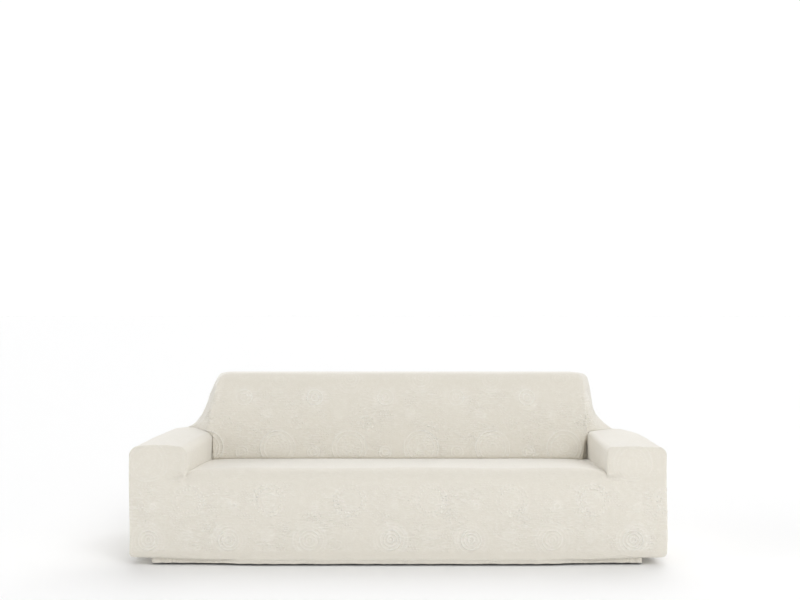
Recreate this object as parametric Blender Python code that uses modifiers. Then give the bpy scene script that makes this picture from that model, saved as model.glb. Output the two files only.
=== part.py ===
"""A fitted stretch cover for a three-seat sofa: five sewn panels of knitted jacquard, hollow and
open below, in the shape they take when the cover is pulled on.

Sizes are in metres. X runs to the viewer's right, Y from the front to the back, Z up. Shapes are
worked out with heights from the floor and depths from the arm fronts, and an empty then carries
the panels so that the origin lies under the middle of the backrest's top, where the cover hangs.
"""

import math
from collections import namedtuple

import bmesh
import bpy
import numpy as np

# ------------------------------------------------------------------ driving sizes

HALF_WIDTH = 1.184
DEPTH = 0.900
ARM_TOP = 0.520  # height of the arms' top edge at the front
BACK_TOP = 0.797  # height of the backrest
SEAT_BACK = 0.620  # depth at which the seat meets the backrest

CLOTH = 0.0022
SEAM = 0.0003  # between panels that are sewn edge to edge
REAR_SEAM = 0.0006  # the same on the back, where the drawn-in hem narrows it
BUTT = 0.0005  # between a panel's edge and the face that it is tucked against
TUCK = 0.012  # how far a panel goes on behind its neighbour in a crevice

FRONT_ROLL = 0.012  # radius of the edges round the arm fronts
FRONT_FLAT = 0.008  # cloth between that edge and the seam behind it
ROLL_LENGTH = FRONT_FLAT + FRONT_ROLL * math.pi / 2
REAR_ROLL = 0.013  # radius of the edges round the back
REAR_FLAT = 0.005
REAR_EDGE = DEPTH - REAR_ROLL  # depth at which top and sides begin to turn onto the back
OUTER_CORNER = 0.035  # radius of an arm's outer top corner, seen from the front

WALL_FOOT = 0.052  # height at which the upright cloth begins to turn under
HEM_FRONT = 0.006  # how far the hem is drawn in at the front and the back
HEM_CORNER = 0.030
HEM_REACH = 0.240  # how far from a corner the hem leaves the line of the wall
HEM_TURN_FRONT = -0.020  # the wall point that is drawn to the middle of the hem's corner: its
HEM_TURN_BACK = -0.060  # way from the wall's corner, towards the side where positive
HEM_CLEAR = 0.0012  # between the arms' hem and the back's, under the back corners

CREST = 0.425  # height of the seat's front roll
SEAT_REAR = 0.384
SEAT_ROLL = 0.062
SEAT_PROUD = 0.012  # how far the apron stands out from the arm fronts
APRON_TOP = 0.400  # the apron widens below this height, onto the arm fronts
APRON_OVER = 0.014  # how far its edge lies outside an arm's inner side there
APRON_FLARE = 0.45  # and how much further for each metre down
APRON_SOFT = 0.030  # half the width of that edge, which softens downwards
DENT_REACH = 0.060  # how far from an arm the seat is still drawn down by it
CREST_DENT = 0.018
ROLL_DENT = 0.012
REAR_DENT = 0.007
SLOT_WIDE = 0.020  # the backrest turns into its crevice beside an arm this far from the arm
SLOT_NARROW = 0.009  # and is at the bottom of it here
SLOT_LOW = 0.455  # heights over which the crevice closes
SLOT_HIGH = 0.500

KNEE_BELOW = 0.045  # how far down the backrest's front its upper turn begins
KNEE_BEHIND = 0.040  # and how far back over the top it ends
BELLY = 0.012  # how far the backrest's front swells between seat and top

Side = namedtuple("Side", "name sign inner inner_back corner crown hem_in slot wing")
LEFT = Side("left", -1, 0.931, 0.924, 0.034, 0.012, 0.095, 0.012, 1.100)
RIGHT = Side("right", 1, 0.919, 0.919, 0.022, 0.003, 0.118, 0.040, 1.112)
SIDES = (LEFT, RIGHT)

# The drawn-in hem, from the upright cloth to the lower edge: share of the way in, and height.
Turn = namedtuple("Turn", "share height")
HEM = (
    Turn(0.06, 0.0410),
    Turn(0.20, 0.0360),
    Turn(0.60, 0.0350),
    Turn(1.00, 0.0335),
    Turn(1.00, 0.0220),
    Turn(1.00, 0.0100),
)

# How much lower an arm's top lies, by depth.
Drop = namedtuple("Drop", "depth left right")
ARM_DROP = (
    Drop(0.00, 0.000, 0.000),
    Drop(0.30, 0.006, 0.000),
    Drop(0.60, 0.013, 0.004),
    Drop(0.75, 0.017, 0.013),
    Drop(0.90, 0.022, 0.023),
)

# Where a wing of the backrest meets the arm's top: distance from the middle, and depth.
Crease = namedtuple("Crease", "out depth")
CREASES = {
    "left": (Crease(0.924, 0.620), Crease(0.950, 0.640), Crease(0.987, 0.735), Crease(1.030, 0.815),
             Crease(1.070, 0.865), Crease(1.100, REAR_EDGE)),
    "right": (Crease(0.919, 0.620), Crease(0.942, 0.626), Crease(0.980, 0.683), Crease(1.020, 0.750),
              Crease(1.075, 0.835), Crease(1.112, REAR_EDGE)),
}

# A wing's two upper lines, by the share of the way along its crease from the seat to the back:
# the knee, where the leaning front turns over, and the rear edge, which is the cover's outline.
Line = namedtuple("Line", "share knee_out knee_depth knee_height rear_out rear_height")
WINGS = {
    "left": (
        Line(0.00, 0.868, 0.757, 0.797, 0.855, 0.797),
        Line(0.12, 0.893, 0.757, 0.790, 0.888, 0.795),
        Line(0.235, 0.913, 0.752, 0.765, 0.925, 0.784),
        Line(0.35, 0.930, 0.742, 0.705, 0.949, 0.745),
        Line(0.50, 0.952, 0.738, 0.640, 0.972, 0.690),
        Line(0.68, 0.985, 0.775, 0.572, 1.000, 0.615),
        Line(0.86, 1.042, 0.845, 0.527, 1.045, 0.539),
        Line(1.00, 1.100, 0.884, 0.509, 1.100, 0.509),
    ),
    "right": (
        Line(0.00, 0.884, 0.757, 0.797, 0.885, 0.797),
        Line(0.12, 0.912, 0.757, 0.791, 0.940, 0.790),
        Line(0.235, 0.932, 0.752, 0.767, 0.973, 0.775),
        Line(0.35, 0.946, 0.742, 0.700, 0.988, 0.735),
        Line(0.50, 0.968, 0.742, 0.626, 1.000, 0.665),
        Line(0.68, 1.004, 0.780, 0.563, 1.015, 0.592),
        Line(0.86, 1.062, 0.848, 0.526, 1.060, 0.539),
        Line(1.00, 1.112, 0.884, 0.508, 1.112, 0.509),
    ),
}

# Folds that run out from the seat's corners across the arm fronts: degrees below level, and sizes.
Fold = namedtuple("Fold", "slope rise length")
CORNER_FOLDS = (Fold(19, 0.007, 0.16), Fold(42, 0.004, 0.20), Fold(66, 0.003, 0.22))
FOLD_ROOT = 0.398  # height of the corner that they start from
FOLD_WIDTH = 0.008
FOLD_SPREAD = 0.06  # how much a fold widens for each metre of its length

# Slack in the cloth: how far its uneven hollows and swells reach in each direction.
SLACK = (0.0022, 0.0025, 0.0020)

MOUNT = (0.0, 0.820, BACK_TOP - CLOTH)  # the sofa back's top, which carries the cover

OUTWARDS = np.array([1.0, 0.0, 0.0])
BACKWARDS = np.array([0.0, 1.0, 0.0])
UPWARDS = np.array([0.0, 0.0, 1.0])
OFF_ARM = np.array([-0.88, 0.47, 0.0])  # square to the crease across an arm's top


# ------------------------------------------------------------------ curves in words

def step(value, low, high):
    """0 below low, 1 above high and an even S between them."""
    t = np.clip((value - low) / (high - low), 0.0, 1.0)
    return t * t * (3.0 - 2.0 * t)


def through(rows, key, column, at):
    """A smooth curve through one column of a table, by its key column: cubic pieces whose slope
    in each row is the mean of the slopes on both sides, weighted towards the nearer row."""
    x = np.array([getattr(row, key) for row in rows])
    y = np.array([getattr(row, column) for row in rows])
    slope = np.diff(y) / np.diff(x)
    gap = np.diff(x)
    inner = (slope[:-1] * gap[1:] + slope[1:] * gap[:-1]) / (gap[:-1] + gap[1:])
    slopes = np.concatenate([slope[:1], inner, slope[-1:]])
    at = np.clip(at, x[0], x[-1])
    i = np.clip(np.searchsorted(x, at) - 1, 0, len(x) - 2)
    h = gap[i]
    t = (at - x[i]) / h
    return (
        (1 + 2 * t) * (1 - t) ** 2 * y[i]
        + t * (1 - t) ** 2 * h * slopes[i]
        + t * t * (3 - 2 * t) * y[i + 1]
        + t * t * (t - 1) * h * slopes[i + 1]
    )


def rolled(way, radius):
    """Cloth that runs straight until way is 0 and then turns a right angle over a radius: how far
    it has come along its old direction, and how far along its new one."""
    turn = np.clip(way / radius, 0.0, math.pi / 2)
    along = np.minimum(way, 0.0) + radius * np.sin(turn)
    across = radius * (1.0 - np.cos(turn)) + np.maximum(way - radius * math.pi / 2, 0.0)
    return along, across


# ------------------------------------------------------------------ hem

def hem_in(side, out, depth, share):
    """Plan position of cloth that stood at (out, depth) on the wall, moved by a share of the way
    to the hem. The hem runs just inside the front and back, far inside the arms' outer sides, and
    round tight corners, so each wall corner is gathered onto a shorter way."""
    from_back = depth > DEPTH / 2
    deep = np.where(from_back, DEPTH - depth, depth)
    way = deep - (HALF_WIDTH - out)  # along the wall from the corner: the side is positive
    hem_out = HALF_WIDTH - side.hem_in
    quarter = HEM_CORNER * math.pi / 4
    straight = hem_out - HEM_CORNER - (HALF_WIDTH - HEM_REACH)
    turn = np.where(from_back, HEM_TURN_BACK, HEM_TURN_FRONT)
    front_way = (way + HEM_REACH) / (HEM_REACH + turn) * (straight + quarter) - straight
    side_run = quarter + HEM_REACH - HEM_FRONT - HEM_CORNER
    side_way = (way - turn) / (HEM_REACH - turn) * side_run + quarter
    arc = np.where(way < turn, front_way, side_way)
    along, across = rolled(arc, HEM_CORNER)
    hem_x = hem_out - HEM_CORNER + along
    hem_y = HEM_FRONT + across
    hem_x = np.where(way <= -HEM_REACH, out, hem_x)
    hem_y = np.where(way <= -HEM_REACH, HEM_FRONT, hem_y)
    hem_y = np.where(way >= HEM_REACH, deep, hem_y)
    x = out + (hem_x - out) * share
    y = deep + (hem_y - deep) * share
    return x, np.where(from_back, DEPTH - y, y)


def with_hem(side, wall, clear=0.0):
    """The rows of the hem below a wall's lowest row of points, lowest first. clear moves the
    hem of an arm forwards, off the back's, where the two meet under the back corner."""
    rows = []
    for turn in reversed(HEM):
        out, depth = hem_in(side, wall[:, 0], wall[:, 1], turn.share)
        depth = depth - clear * step(wall[:, 1], 0.5 * DEPTH, 0.9 * DEPTH)
        rows.append(np.stack([out, depth, np.full_like(out, turn.height)], axis=1))
    return np.stack(rows)


# ------------------------------------------------------------------ front and seat

def front_relief(side, out, height):
    """Depth of the front face: the apron stands proud of the arm fronts, more towards the seat,
    and pulls folds out of each seat corner across the arm front."""
    below = np.maximum(APRON_TOP - height, 0.0)
    edge = side.inner + APRON_OVER + APRON_FLARE * below
    width = APRON_SOFT + 0.5 * below
    proud = (1.0 - step(out, edge - width, edge + width)) * step(height, 0.03, 0.30)
    folds = 0.0
    for fold in CORNER_FOLDS:
        slope = math.radians(fold.slope)
        x = out - side.inner
        z = height - FOLD_ROOT
        along = x * math.cos(slope) - z * math.sin(slope)
        off = x * math.sin(slope) + z * math.cos(slope)
        fade = step(along, -0.01, 0.03) * (1.0 - step(along, 0.3 * fold.length, fold.length))
        width = FOLD_WIDTH + FOLD_SPREAD * np.maximum(along, 0.0)
        folds = folds + fold.rise * fade * np.exp(-((off / width) ** 2))
        folds = folds - 0.5 * fold.rise * fade * np.exp(-(((off - 2.1 * width) / width) ** 2))
    return -SEAT_PROUD * proud - folds


def inner_side(side, depth):
    """How far from the middle an arm's inner side lies."""
    return side.inner + (side.inner_back - side.inner) * step(depth, 0.05, SEAT_BACK)


def crevice_slot(side, out, height):
    """How far the cloth is pushed back into the crevice between the backrest and an arm."""
    inside = step(out, side.inner_back - SLOT_WIDE, side.inner_back - SLOT_NARROW)
    return side.slot * inside * (1.0 - step(height, SLOT_LOW, SLOT_HIGH))


def seat(share, v):
    """The apron, the seat's rolled front and the seat. share goes from the left arm (0) to the
    right arm (1). v is 0 to 1 up the apron, 1 to 2 over the roll and 2 to 3 back to the crevice."""
    share, v = np.broadcast_arrays(share, v)
    pull = step(v, 0.9, 1.7)  # the free cloth between the arms widens to fill the seat
    flat = ROLL_LENGTH - FRONT_ROLL
    edge = [side.inner - flat * (1.0 - pull) for side in SIDES]
    back = step(v, 2.0, 3.0)
    edge = [e + (side.inner_back - side.inner) * back - BUTT * pull for e, side in zip(edge, SIDES)]
    x = -edge[0] + share * (edge[0] + edge[1])
    near = [np.exp(-np.maximum(side.inner - side.sign * x, 0.0) / DENT_REACH) for side in SIDES]
    near_arm = near[0] + near[1]
    crest = CREST - CREST_DENT * near_arm
    roll = SEAT_ROLL - ROLL_DENT * near_arm
    rear = SEAT_REAR - REAR_DENT * near_arm
    top = crest - roll
    up = WALL_FOOT + (top - WALL_FOOT) * np.minimum(v, 1.0)
    side_x = np.abs(x)
    face = np.where(x < 0, front_relief(LEFT, side_x, up), front_relief(RIGHT, side_x, up))
    along, across = rolled(np.clip(v - 1.0, 0.0, 1.0) * roll * math.pi / 2, roll)
    y = face + across
    z = up + along
    push = np.where(x < 0, crevice_slot(LEFT, side_x, rear), crevice_slot(RIGHT, side_x, rear))
    t = np.clip(v - 2.0, 0.0, 1.0)
    y = y + (SEAT_BACK + push * t**6 - BUTT - y) * t
    z = z - (crest - rear) * t**1.25
    return np.stack([x, y, z], axis=-1)


def turned_corner(a, b, radius):
    """Two rolled edges that meet in a rounded corner. a and b are a point's distances along the
    cloth from the two seams; the result is its distances from the two outlines. Lines at one
    distance from the nearer seam turn the corner on arcs about its centre."""
    near, far = np.minimum(a, b), np.maximum(a, b)
    reach = ROLL_LENGTH + radius - FRONT_ROLL
    turn = math.pi / 4 * np.clip((reach - far) / np.maximum(reach - near, 1e-9), 0.0, 1.0)
    left = radius - rolled(near - FRONT_FLAT, FRONT_ROLL)[1]
    short, long = radius - left * np.cos(turn), radius - left * np.sin(turn)
    straight = far >= reach
    plain_a = rolled(a - FRONT_FLAT, FRONT_ROLL)[1]
    plain_b = rolled(b - FRONT_FLAT, FRONT_ROLL)[1]
    out_a = np.where(straight, plain_a, np.where(a <= b, short, long))
    out_b = np.where(straight, plain_b, np.where(a <= b, long, short))
    return out_a, out_b


def front_width(side):
    """Width of an arm front's cloth, from its outer seam to the line where it joins the apron."""
    return HALF_WIDTH - side.inner + 2.0 * (ROLL_LENGTH - FRONT_ROLL)


def arm_front(side, a, level):
    """An arm's front with its three rolled edges. a is the distance along the cloth from the
    outer seam, level the height that the cloth would have if it went straight up."""
    a, level = np.broadcast_arrays(a, level)
    b = ARM_TOP - FRONT_ROLL + ROLL_LENGTH - level
    outer = a <= front_width(side) / 2
    from_side = np.where(outer, a, front_width(side) - a)
    radius = np.where(outer, OUTER_CORNER, side.corner)
    in_a, in_b = turned_corner(from_side, b, radius)
    x = np.where(outer, HALF_WIDTH - in_a, side.inner + in_a)
    near = np.minimum(from_side, b)
    y = FRONT_ROLL - rolled(near - FRONT_FLAT, FRONT_ROLL)[0]
    across = np.clip((x - side.inner) / (HALF_WIDTH - side.inner), 0.0, 1.0)
    z = ARM_TOP - in_b + side.crown * np.sin(math.pi * across) * step(level, 0.40, ARM_TOP)
    y = y + front_relief(side, x, z) * step(near, ROLL_LENGTH, ROLL_LENGTH + 0.03)
    return np.stack([x, y, z], axis=-1)


def arm_front_below(side, a, joined):
    """The arm front below the seat corner, where its inner edge runs on into the apron: joined
    holds the apron's edge points, one for each row."""
    level = joined[:, 2][:, None]
    a = a[None, :]
    planar = np.minimum(a, front_width(side) - ROLL_LENGTH)
    out = arm_front(side, np.broadcast_to(planar, (len(joined), a.shape[1])), level)
    inner_x = side.inner + FRONT_ROLL + (front_width(side) - ROLL_LENGTH - planar)
    middle = a > front_width(side) / 2
    face_y = front_relief(side, inner_x, level)
    x = np.where(middle, inner_x, out[..., 0])
    y = np.where(middle, face_y, out[..., 1])
    t = np.clip((a - (front_width(side) - ROLL_LENGTH)) / ROLL_LENGTH, 0.0, 1.0)
    x = x + (joined[:, 0][:, None] - x) * t
    y = y + (joined[:, 1][:, None] - y) * t**1.5
    return np.stack([x, y, np.broadcast_to(level, x.shape)], axis=-1)


# ------------------------------------------------------------------ arms

def seat_line(side, depth):
    """Height at which the seat meets an arm's inner side, by depth."""
    v = np.linspace(1.2, 3.0, 60)
    edge = seat(0.0 if side is LEFT else 1.0, v)
    return np.interp(depth, edge[:, 1], edge[:, 2])


Path = namedtuple("Path", "out height inner_share fraction in_x in_z")


def arm_path(side, levels, tops, fractions):
    """An arm's cross-section where its panel is sewn to the front, from its foot up the outer
    side, over the top and down the inner side. in_x and in_z point into the arm."""
    start = ARM_TOP - FRONT_ROLL + ROLL_LENGTH
    width = front_width(side)
    outer = arm_front(side, np.zeros(len(levels)), levels)
    top = arm_front(side, tops, np.full(len(tops), start))
    inner_levels = levels[levels > ARM_TOP - side.corner + 1e-6][::-1]
    turn = arm_front(side, np.full(len(inner_levels), width), inner_levels)
    down = np.array([[side.inner, 0.0, 0.0]] * len(fractions))
    points = np.concatenate([outer, top, turn, down])
    count_down = len(fractions)
    fraction = np.concatenate([np.full(len(points) - count_down, -1.0), fractions])
    out, height = points[:, 0], points[:, 2]
    height = np.where(fraction >= 0, ARM_TOP - side.corner, height)
    share = np.clip((side.wing - out) / (side.wing - side.inner - side.corner), 0.0, 1.0)
    outer_x = np.clip(out - (HALF_WIDTH - OUTER_CORNER), 0.0, OUTER_CORNER) / OUTER_CORNER
    upright = np.arcsin(outer_x)
    low = height < ARM_TOP - OUTER_CORNER
    upright = np.where(low & (out > side.wing), math.pi / 2, upright)
    return Path(out, height, share, fraction, -np.sin(upright), -np.cos(upright))


def crease_depth(side, out, height):
    """Depth at which an arm's surface ends against the backrest, by its place in the section."""
    ahead = through(CREASES[side.name], "out", "depth", out)
    return ahead + crevice_slot(side, np.full_like(out, side.inner_back), height) * (
        1.0 - step(out, side.inner_back + 0.002, side.inner_back + 0.02)
    )


def arm_point(side, path, depth):
    """A point of an arm's surface on each line of its cross-section, at a depth for each."""
    fall = through(ARM_DROP, "depth", side.name, depth)
    x = path.out - (side.inner - inner_side(side, depth)) * path.inner_share
    z = path.height - fall * step(path.height, 0.20, 0.45)
    foot = seat_line(side, depth) - TUCK
    z = np.where(path.fraction >= 0, z - np.maximum(path.fraction, 0.0) * (z - foot), z)
    return np.stack(np.broadcast_arrays(x, depth, z), axis=-1)


def arm_ends(side, path):
    """The depth at which each line of an arm ends."""
    rough = arm_point(side, path, np.full(len(path.out), SEAT_BACK))
    depth = crease_depth(side, rough[:, 0], rough[:, 2])
    return np.where(path.out >= side.wing - 1e-6, REAR_EDGE, depth)


def arm_back(path, edge, way):
    """Cloth that has gone a way past the rear edge: it rolls onto the back and runs inwards."""
    along, across = rolled(way, REAR_ROLL)
    return np.stack(
        [edge[:, 0] + path.in_x * across, edge[:, 1] + along, edge[:, 2] + path.in_z * across], axis=-1
    )


# ------------------------------------------------------------------ backrest

def wing_line(side, share):
    """Knee and rear-edge points of a wing, by the share of the way along its crease."""
    rows = WINGS[side.name]
    knee = [through(rows, "share", name, share) for name in ("knee_out", "knee_depth", "knee_height")]
    rear = [through(rows, "share", name, share) for name in ("rear_out", "rear_height")]
    return np.stack(knee, axis=-1), np.stack([rear[0], np.full_like(share, REAR_EDGE), rear[1]], axis=-1)


def wing_direction(side, share):
    """The way in which a wing's rear edge runs, away from the middle."""
    near, far = np.maximum(share - 0.01, 0.0), np.minimum(share + 0.01, 1.0)
    return wing_line(side, far)[1] - wing_line(side, near)[1]


def backrest(foot, knee, rear, v):
    """The leaning front from foot to knee (v 0 to 1), the turn at the knee (1 to 2) and the top
    back to the rear edge (2 to 3), as three smooth lengths that join without a corner."""
    down, back = foot - knee, rear - knee
    down_len = np.linalg.norm(down, axis=-1, keepdims=True)
    back_len = np.linalg.norm(back, axis=-1, keepdims=True)
    first = knee + down * np.minimum(KNEE_BELOW, 0.4 * down_len) / np.maximum(down_len, 1e-6)
    last = knee + back * np.minimum(KNEE_BEHIND, 0.4 * back_len) / np.maximum(back_len, 1e-6)
    if v <= 1.0:
        point = foot + (first - foot) * v
    elif v <= 2.0:
        t = v - 1.0
        point = (1 - t) ** 2 * first + 2 * t * (1 - t) * knee + t * t * last
    else:
        point = last + (rear - last) * (v - 2.0)
    belly = BELLY * np.clip(down_len / (BACK_TOP - SEAT_REAR), 0.0, 1.0)
    return point - belly * math.sin(math.pi * min(v, 1.0)) * BACKWARDS


# ------------------------------------------------------------------ slack in the cloth

def slack(points):
    """Small uneven hollows and swells in the stretched cloth, none of them on the flat back."""
    x, y, z = points[..., 0], points[..., 1], points[..., 2]
    free = (1.0 - step(y, 0.70, 0.87)) * step(z, 0.05, 0.12)
    wave_y = np.sin(9.1 * x + 1.3) * np.sin(13.0 * z + 4.0 * x + 0.6)
    wave_x = np.sin(11.0 * z + 0.4) * np.sin(7.0 * y + 1.1)
    wave_z = np.sin(8.3 * x + 0.9) * np.sin(9.0 * y + 0.7)
    moved = np.array(points)
    moved[..., 0] += SLACK[0] * free * wave_x * step(np.abs(x), 1.0, 1.15)
    moved[..., 1] += SLACK[1] * free * wave_y
    moved[..., 2] += SLACK[2] * free * wave_z
    return moved


# ------------------------------------------------------------------ making panels

def signed(side, points):
    """Points given by their distance from the middle, put on their own side."""
    return points * np.array([side.sign, 1.0, 1.0])


def add_grid(mesh, points, flip, keep=None):
    """Adds a grid of points as four-sided faces; keep leaves out the faces where it is false."""
    rows, columns = points.shape[:2]
    moved = slack(points)
    vertices = [[mesh.verts.new(moved[i, j]) for j in range(columns)] for i in range(rows)]
    for i in range(rows - 1):
        for j in range(columns - 1):
            if keep is not None and not keep[i, j]:
                continue
            ring = [vertices[i][j], vertices[i][j + 1], vertices[i + 1][j + 1], vertices[i + 1][j]]
            mesh.faces.new(ring[::-1] if flip else ring)


def sew(name, mesh, colour):
    """Turns a panel's open surface into an object of cloth, its thickness laid inwards."""
    bmesh.ops.remove_doubles(mesh, verts=mesh.verts, dist=0.00002)
    loose = [vertex for vertex in mesh.verts if not vertex.link_faces]
    bmesh.ops.delete(mesh, geom=loose, context="VERTS")
    data = bpy.data.meshes.new(name)
    mesh.to_mesh(data)
    mesh.free()
    data.shade_smooth()
    panel = bpy.data.objects.new(name, data)
    cover.objects.link(panel)
    panel.parent = hanger
    thickness = panel.modifiers.new("cloth", "SOLIDIFY")
    thickness.thickness = CLOTH
    thickness.offset = -1.0
    thickness.use_even_offset = True
    material = bpy.data.materials.new(name + "_cloth")
    material.use_nodes = True
    shader = material.node_tree.nodes["Principled BSDF"]
    shader.inputs["Base Color"].default_value = (*colour, 1.0)
    shader.inputs["Roughness"].default_value = 0.92
    shader.inputs["Metallic"].default_value = 0.0
    data.materials.append(material)


for leftover in list(bpy.data.objects):
    bpy.data.objects.remove(leftover, do_unlink=True)

cover = bpy.data.collections.new("sofa_slipcover")
bpy.context.scene.collection.children.link(cover)
hanger = bpy.data.objects.new("hanger", None)
hanger.location = (-MOUNT[0], -MOUNT[1], -MOUNT[2])
cover.objects.link(hanger)

# Rows up the front, over the seat's roll and back to the crevice, and columns across.
APRON_ROWS = np.linspace(0.0, 1.0, 7)
CORNER_ROW = 1.5  # where the seat leaves the arm fronts
ROLL_ROWS = np.array([1.25, CORNER_ROW, 1.75, 2.0])
SEAT_ROWS = 2.0 + np.array([0.08, 0.2, 0.36, 0.54, 0.72, 0.88, 1.0])
SEAT_COLUMNS = np.concatenate([[0.0, 0.007, 0.018, 0.038], np.linspace(0.07, 0.93, 14),
                               [0.962, 0.982, 0.993, 1.0]])
v_rows = np.concatenate([APRON_ROWS, ROLL_ROWS, SEAT_ROWS])
joined_rows = int(np.searchsorted(v_rows, CORNER_ROW)) + 1

ROLL_STEPS = np.array([0.0, FRONT_FLAT, (FRONT_FLAT + ROLL_LENGTH) / 2, ROLL_LENGTH])
ABOVE_SEAT = np.array([0.404, 0.436])

front = bmesh.new()
tongue = seat(SEAT_COLUMNS[None, :], v_rows[:, None])
hem_rows = with_hem(RIGHT, np.stack([np.abs(tongue[0, :, 0]), tongue[0, :, 1]], axis=1))
hem_rows[..., 0] *= np.sign(tongue[0, :, 0])
add_grid(front, np.concatenate([hem_rows, tongue]), flip=False)

arm_lines = {}
for side in SIDES:
    edge = signed(side, tongue[:joined_rows, 0 if side is LEFT else -1])
    width = front_width(side)
    inner_reach = ROLL_LENGTH + side.corner - FRONT_ROLL
    outer_reach = ROLL_LENGTH + OUTER_CORNER - FRONT_ROLL
    wing_column = HALF_WIDTH - side.wing + ROLL_LENGTH - FRONT_ROLL
    last = width - inner_reach
    middle = wing_column + (last - wing_column) * np.array([0.0, 0.25, 0.5, 0.75])
    a = np.concatenate([ROLL_STEPS, [outer_reach], middle, [last], width - ROLL_STEPS[::-1]])
    start = ARM_TOP - FRONT_ROLL + ROLL_LENGTH
    top_rows = np.concatenate([[start - outer_reach, start - inner_reach], start - ROLL_STEPS[::-1]])
    levels = np.unique(np.round(np.concatenate([ABOVE_SEAT, top_rows]), 6))
    below = arm_front_below(side, a, edge)
    above = arm_front(side, a[None, :], levels[:, None])
    grid = np.concatenate([with_hem(side, below[0]), below, above])
    add_grid(front, signed(side, grid), flip=side is RIGHT)
    arm_lines[side.name] = (np.concatenate([edge[:, 2], levels]), a)
sew("front_seat", front, (0.80, 0.76, 0.69))

# Arms: from the front seam back to the crease with the backrest, or round onto the back.
DOWN = np.array([0.0, 0.3, 0.6, 0.88, 1.0])
AWAY = np.array([0.0, 0.012, 0.045, 0.10, 0.20, 0.33, 0.47, 0.61, 0.73, 0.83, 0.91, 0.965, 1.0])
REAR_WAYS = np.array([0.5, 1.0]) * REAR_ROLL * math.pi / 2
rear_end = REAR_ROLL * math.pi / 2 + REAR_FLAT
creases, rear_outline = {}, {}
for side in SIDES:
    levels, a = arm_lines[side.name]
    path = arm_path(side, levels, a[1:-1], DOWN)
    ends = arm_ends(side, path)
    seam = FRONT_ROLL + FRONT_FLAT + SEAM
    depths = seam + (ends - seam) * AWAY[:, None]
    grid = np.stack([arm_point(side, path, row) for row in depths], axis=1)
    rear = int(np.argmax(path.out < side.wing - 1e-6))
    edge = grid[:, -1]
    wraps = np.stack([arm_back(path, edge, way) for way in (*REAR_WAYS, rear_end)], axis=1)
    grid = np.concatenate([grid, wraps], axis=1)
    keep = np.ones((grid.shape[0] - 1, grid.shape[1] - 1), dtype=bool)
    keep[rear - 1:, len(AWAY) - 1:] = False
    hem = with_hem(side, grid[0], HEM_CLEAR)
    keep = np.concatenate([np.ones((len(HEM), keep.shape[1]), dtype=bool), keep])
    arm = bmesh.new()
    add_grid(arm, signed(side, np.concatenate([hem, grid])), flip=side is LEFT, keep=keep)
    sew("arm_" + side.name, arm, (0.82, 0.79, 0.73))
    creases[side.name] = edge[rear - 1:][::-1][1:]
    rear_outline[side.name] = arm_back(path, edge, rear_end + REAR_SEAM)[:rear]

# Backrest: its foot follows the creases of both arms and the back of the seat.
FRONT_STEPS = (0.0, 0.02, 0.05, 0.12, 0.28, 0.5, 0.75, 1.0)
TURN_STEPS = (1.33, 1.67, 2.0)
TOP_STEPS = (2.5, 3.0)
TUCK_BACK = 0.003
WING_GAP = 0.004  # share of the top that the last column keeps off the wing's first
feet, tucks, knees, rears, ways = {}, {}, {}, {}, {}
for side in SIDES:
    line = creases[side.name]
    run = np.concatenate([[0.0], np.cumsum(np.linalg.norm(np.diff(line, axis=0), axis=1))])
    share = run / run[-1]
    knees[side.name], rears[side.name] = wing_line(side, share)
    upright = np.clip(1.0 - (line[:, 0] - side.inner_back) / side.corner, 0.0, 1.0)[:, None]
    level = np.sqrt(1.0 - upright**2)  # sine of the arm's slope under the foot, and its cosine
    feet[side.name] = line + (1.0 - level) * BUTT * BACKWARDS + level * BUTT * OFF_ARM
    inside_arm = TUCK * (upright * OUTWARDS - level * UPWARDS)
    tucks[side.name] = feet[side.name] + TUCK_BACK * BACKWARDS + inside_arm
    knees[side.name][-1] = rears[side.name][-1] = feet[side.name][-1]
    ways[side.name] = wing_direction(side, share)
seat_rear = seat(SEAT_COLUMNS, np.full(len(SEAT_COLUMNS), 3.0)) + BUTT * BACKWARDS
seat_tuck = seat_rear + TUCK_BACK * BACKWARDS - TUCK * UPWARDS


def joined_up(parts, middle):
    """The left wing's points, the middle's and the right wing's, from left to right."""
    return np.concatenate([signed(LEFT, parts["left"])[::-1], middle, signed(RIGHT, parts["right"])])


def between_wings(parts):
    """Points that lead evenly from near the left wing's first point to near the right wing's."""
    left, right = signed(LEFT, parts["left"][0]), parts["right"][0]
    share = WING_GAP + (1.0 - 2.0 * WING_GAP) * SEAT_COLUMNS
    return left + (right - left) * share[:, None]


foot_line = joined_up(feet, seat_rear)
knee_line = joined_up(knees, between_wings(knees))
rear_line = joined_up(rears, between_wings(rears))
tucked = joined_up(tucks, seat_tuck)
steps = FRONT_STEPS + TURN_STEPS + TOP_STEPS
rows = [tucked] + [backrest(foot_line, knee_line, rear_line, v) for v in steps]
straight = np.array([OUTWARDS] * len(SEAT_COLUMNS))
tangent = np.concatenate([-signed(LEFT, ways["left"])[::-1], straight, signed(RIGHT, ways["right"])])
inward = np.stack([tangent[:, 2], np.zeros(len(tangent)), -tangent[:, 0]], axis=1)
inward[[0, -1]] = (0.0, 0.0, -1.0)
inward /= np.linalg.norm(inward, axis=1, keepdims=True)


def over_back(way):
    """The backrest's cloth a way past the rear edge."""
    along, across_back = rolled(way, REAR_ROLL)
    return rear_line + inward * across_back + np.array([0.0, along, 0.0])


rows += [over_back(way) for way in (*REAR_WAYS, rear_end)]
back_cloth = bmesh.new()
add_grid(back_cloth, np.stack(rows), flip=False)
sew("backrest", back_cloth, (0.78, 0.74, 0.67))

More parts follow.
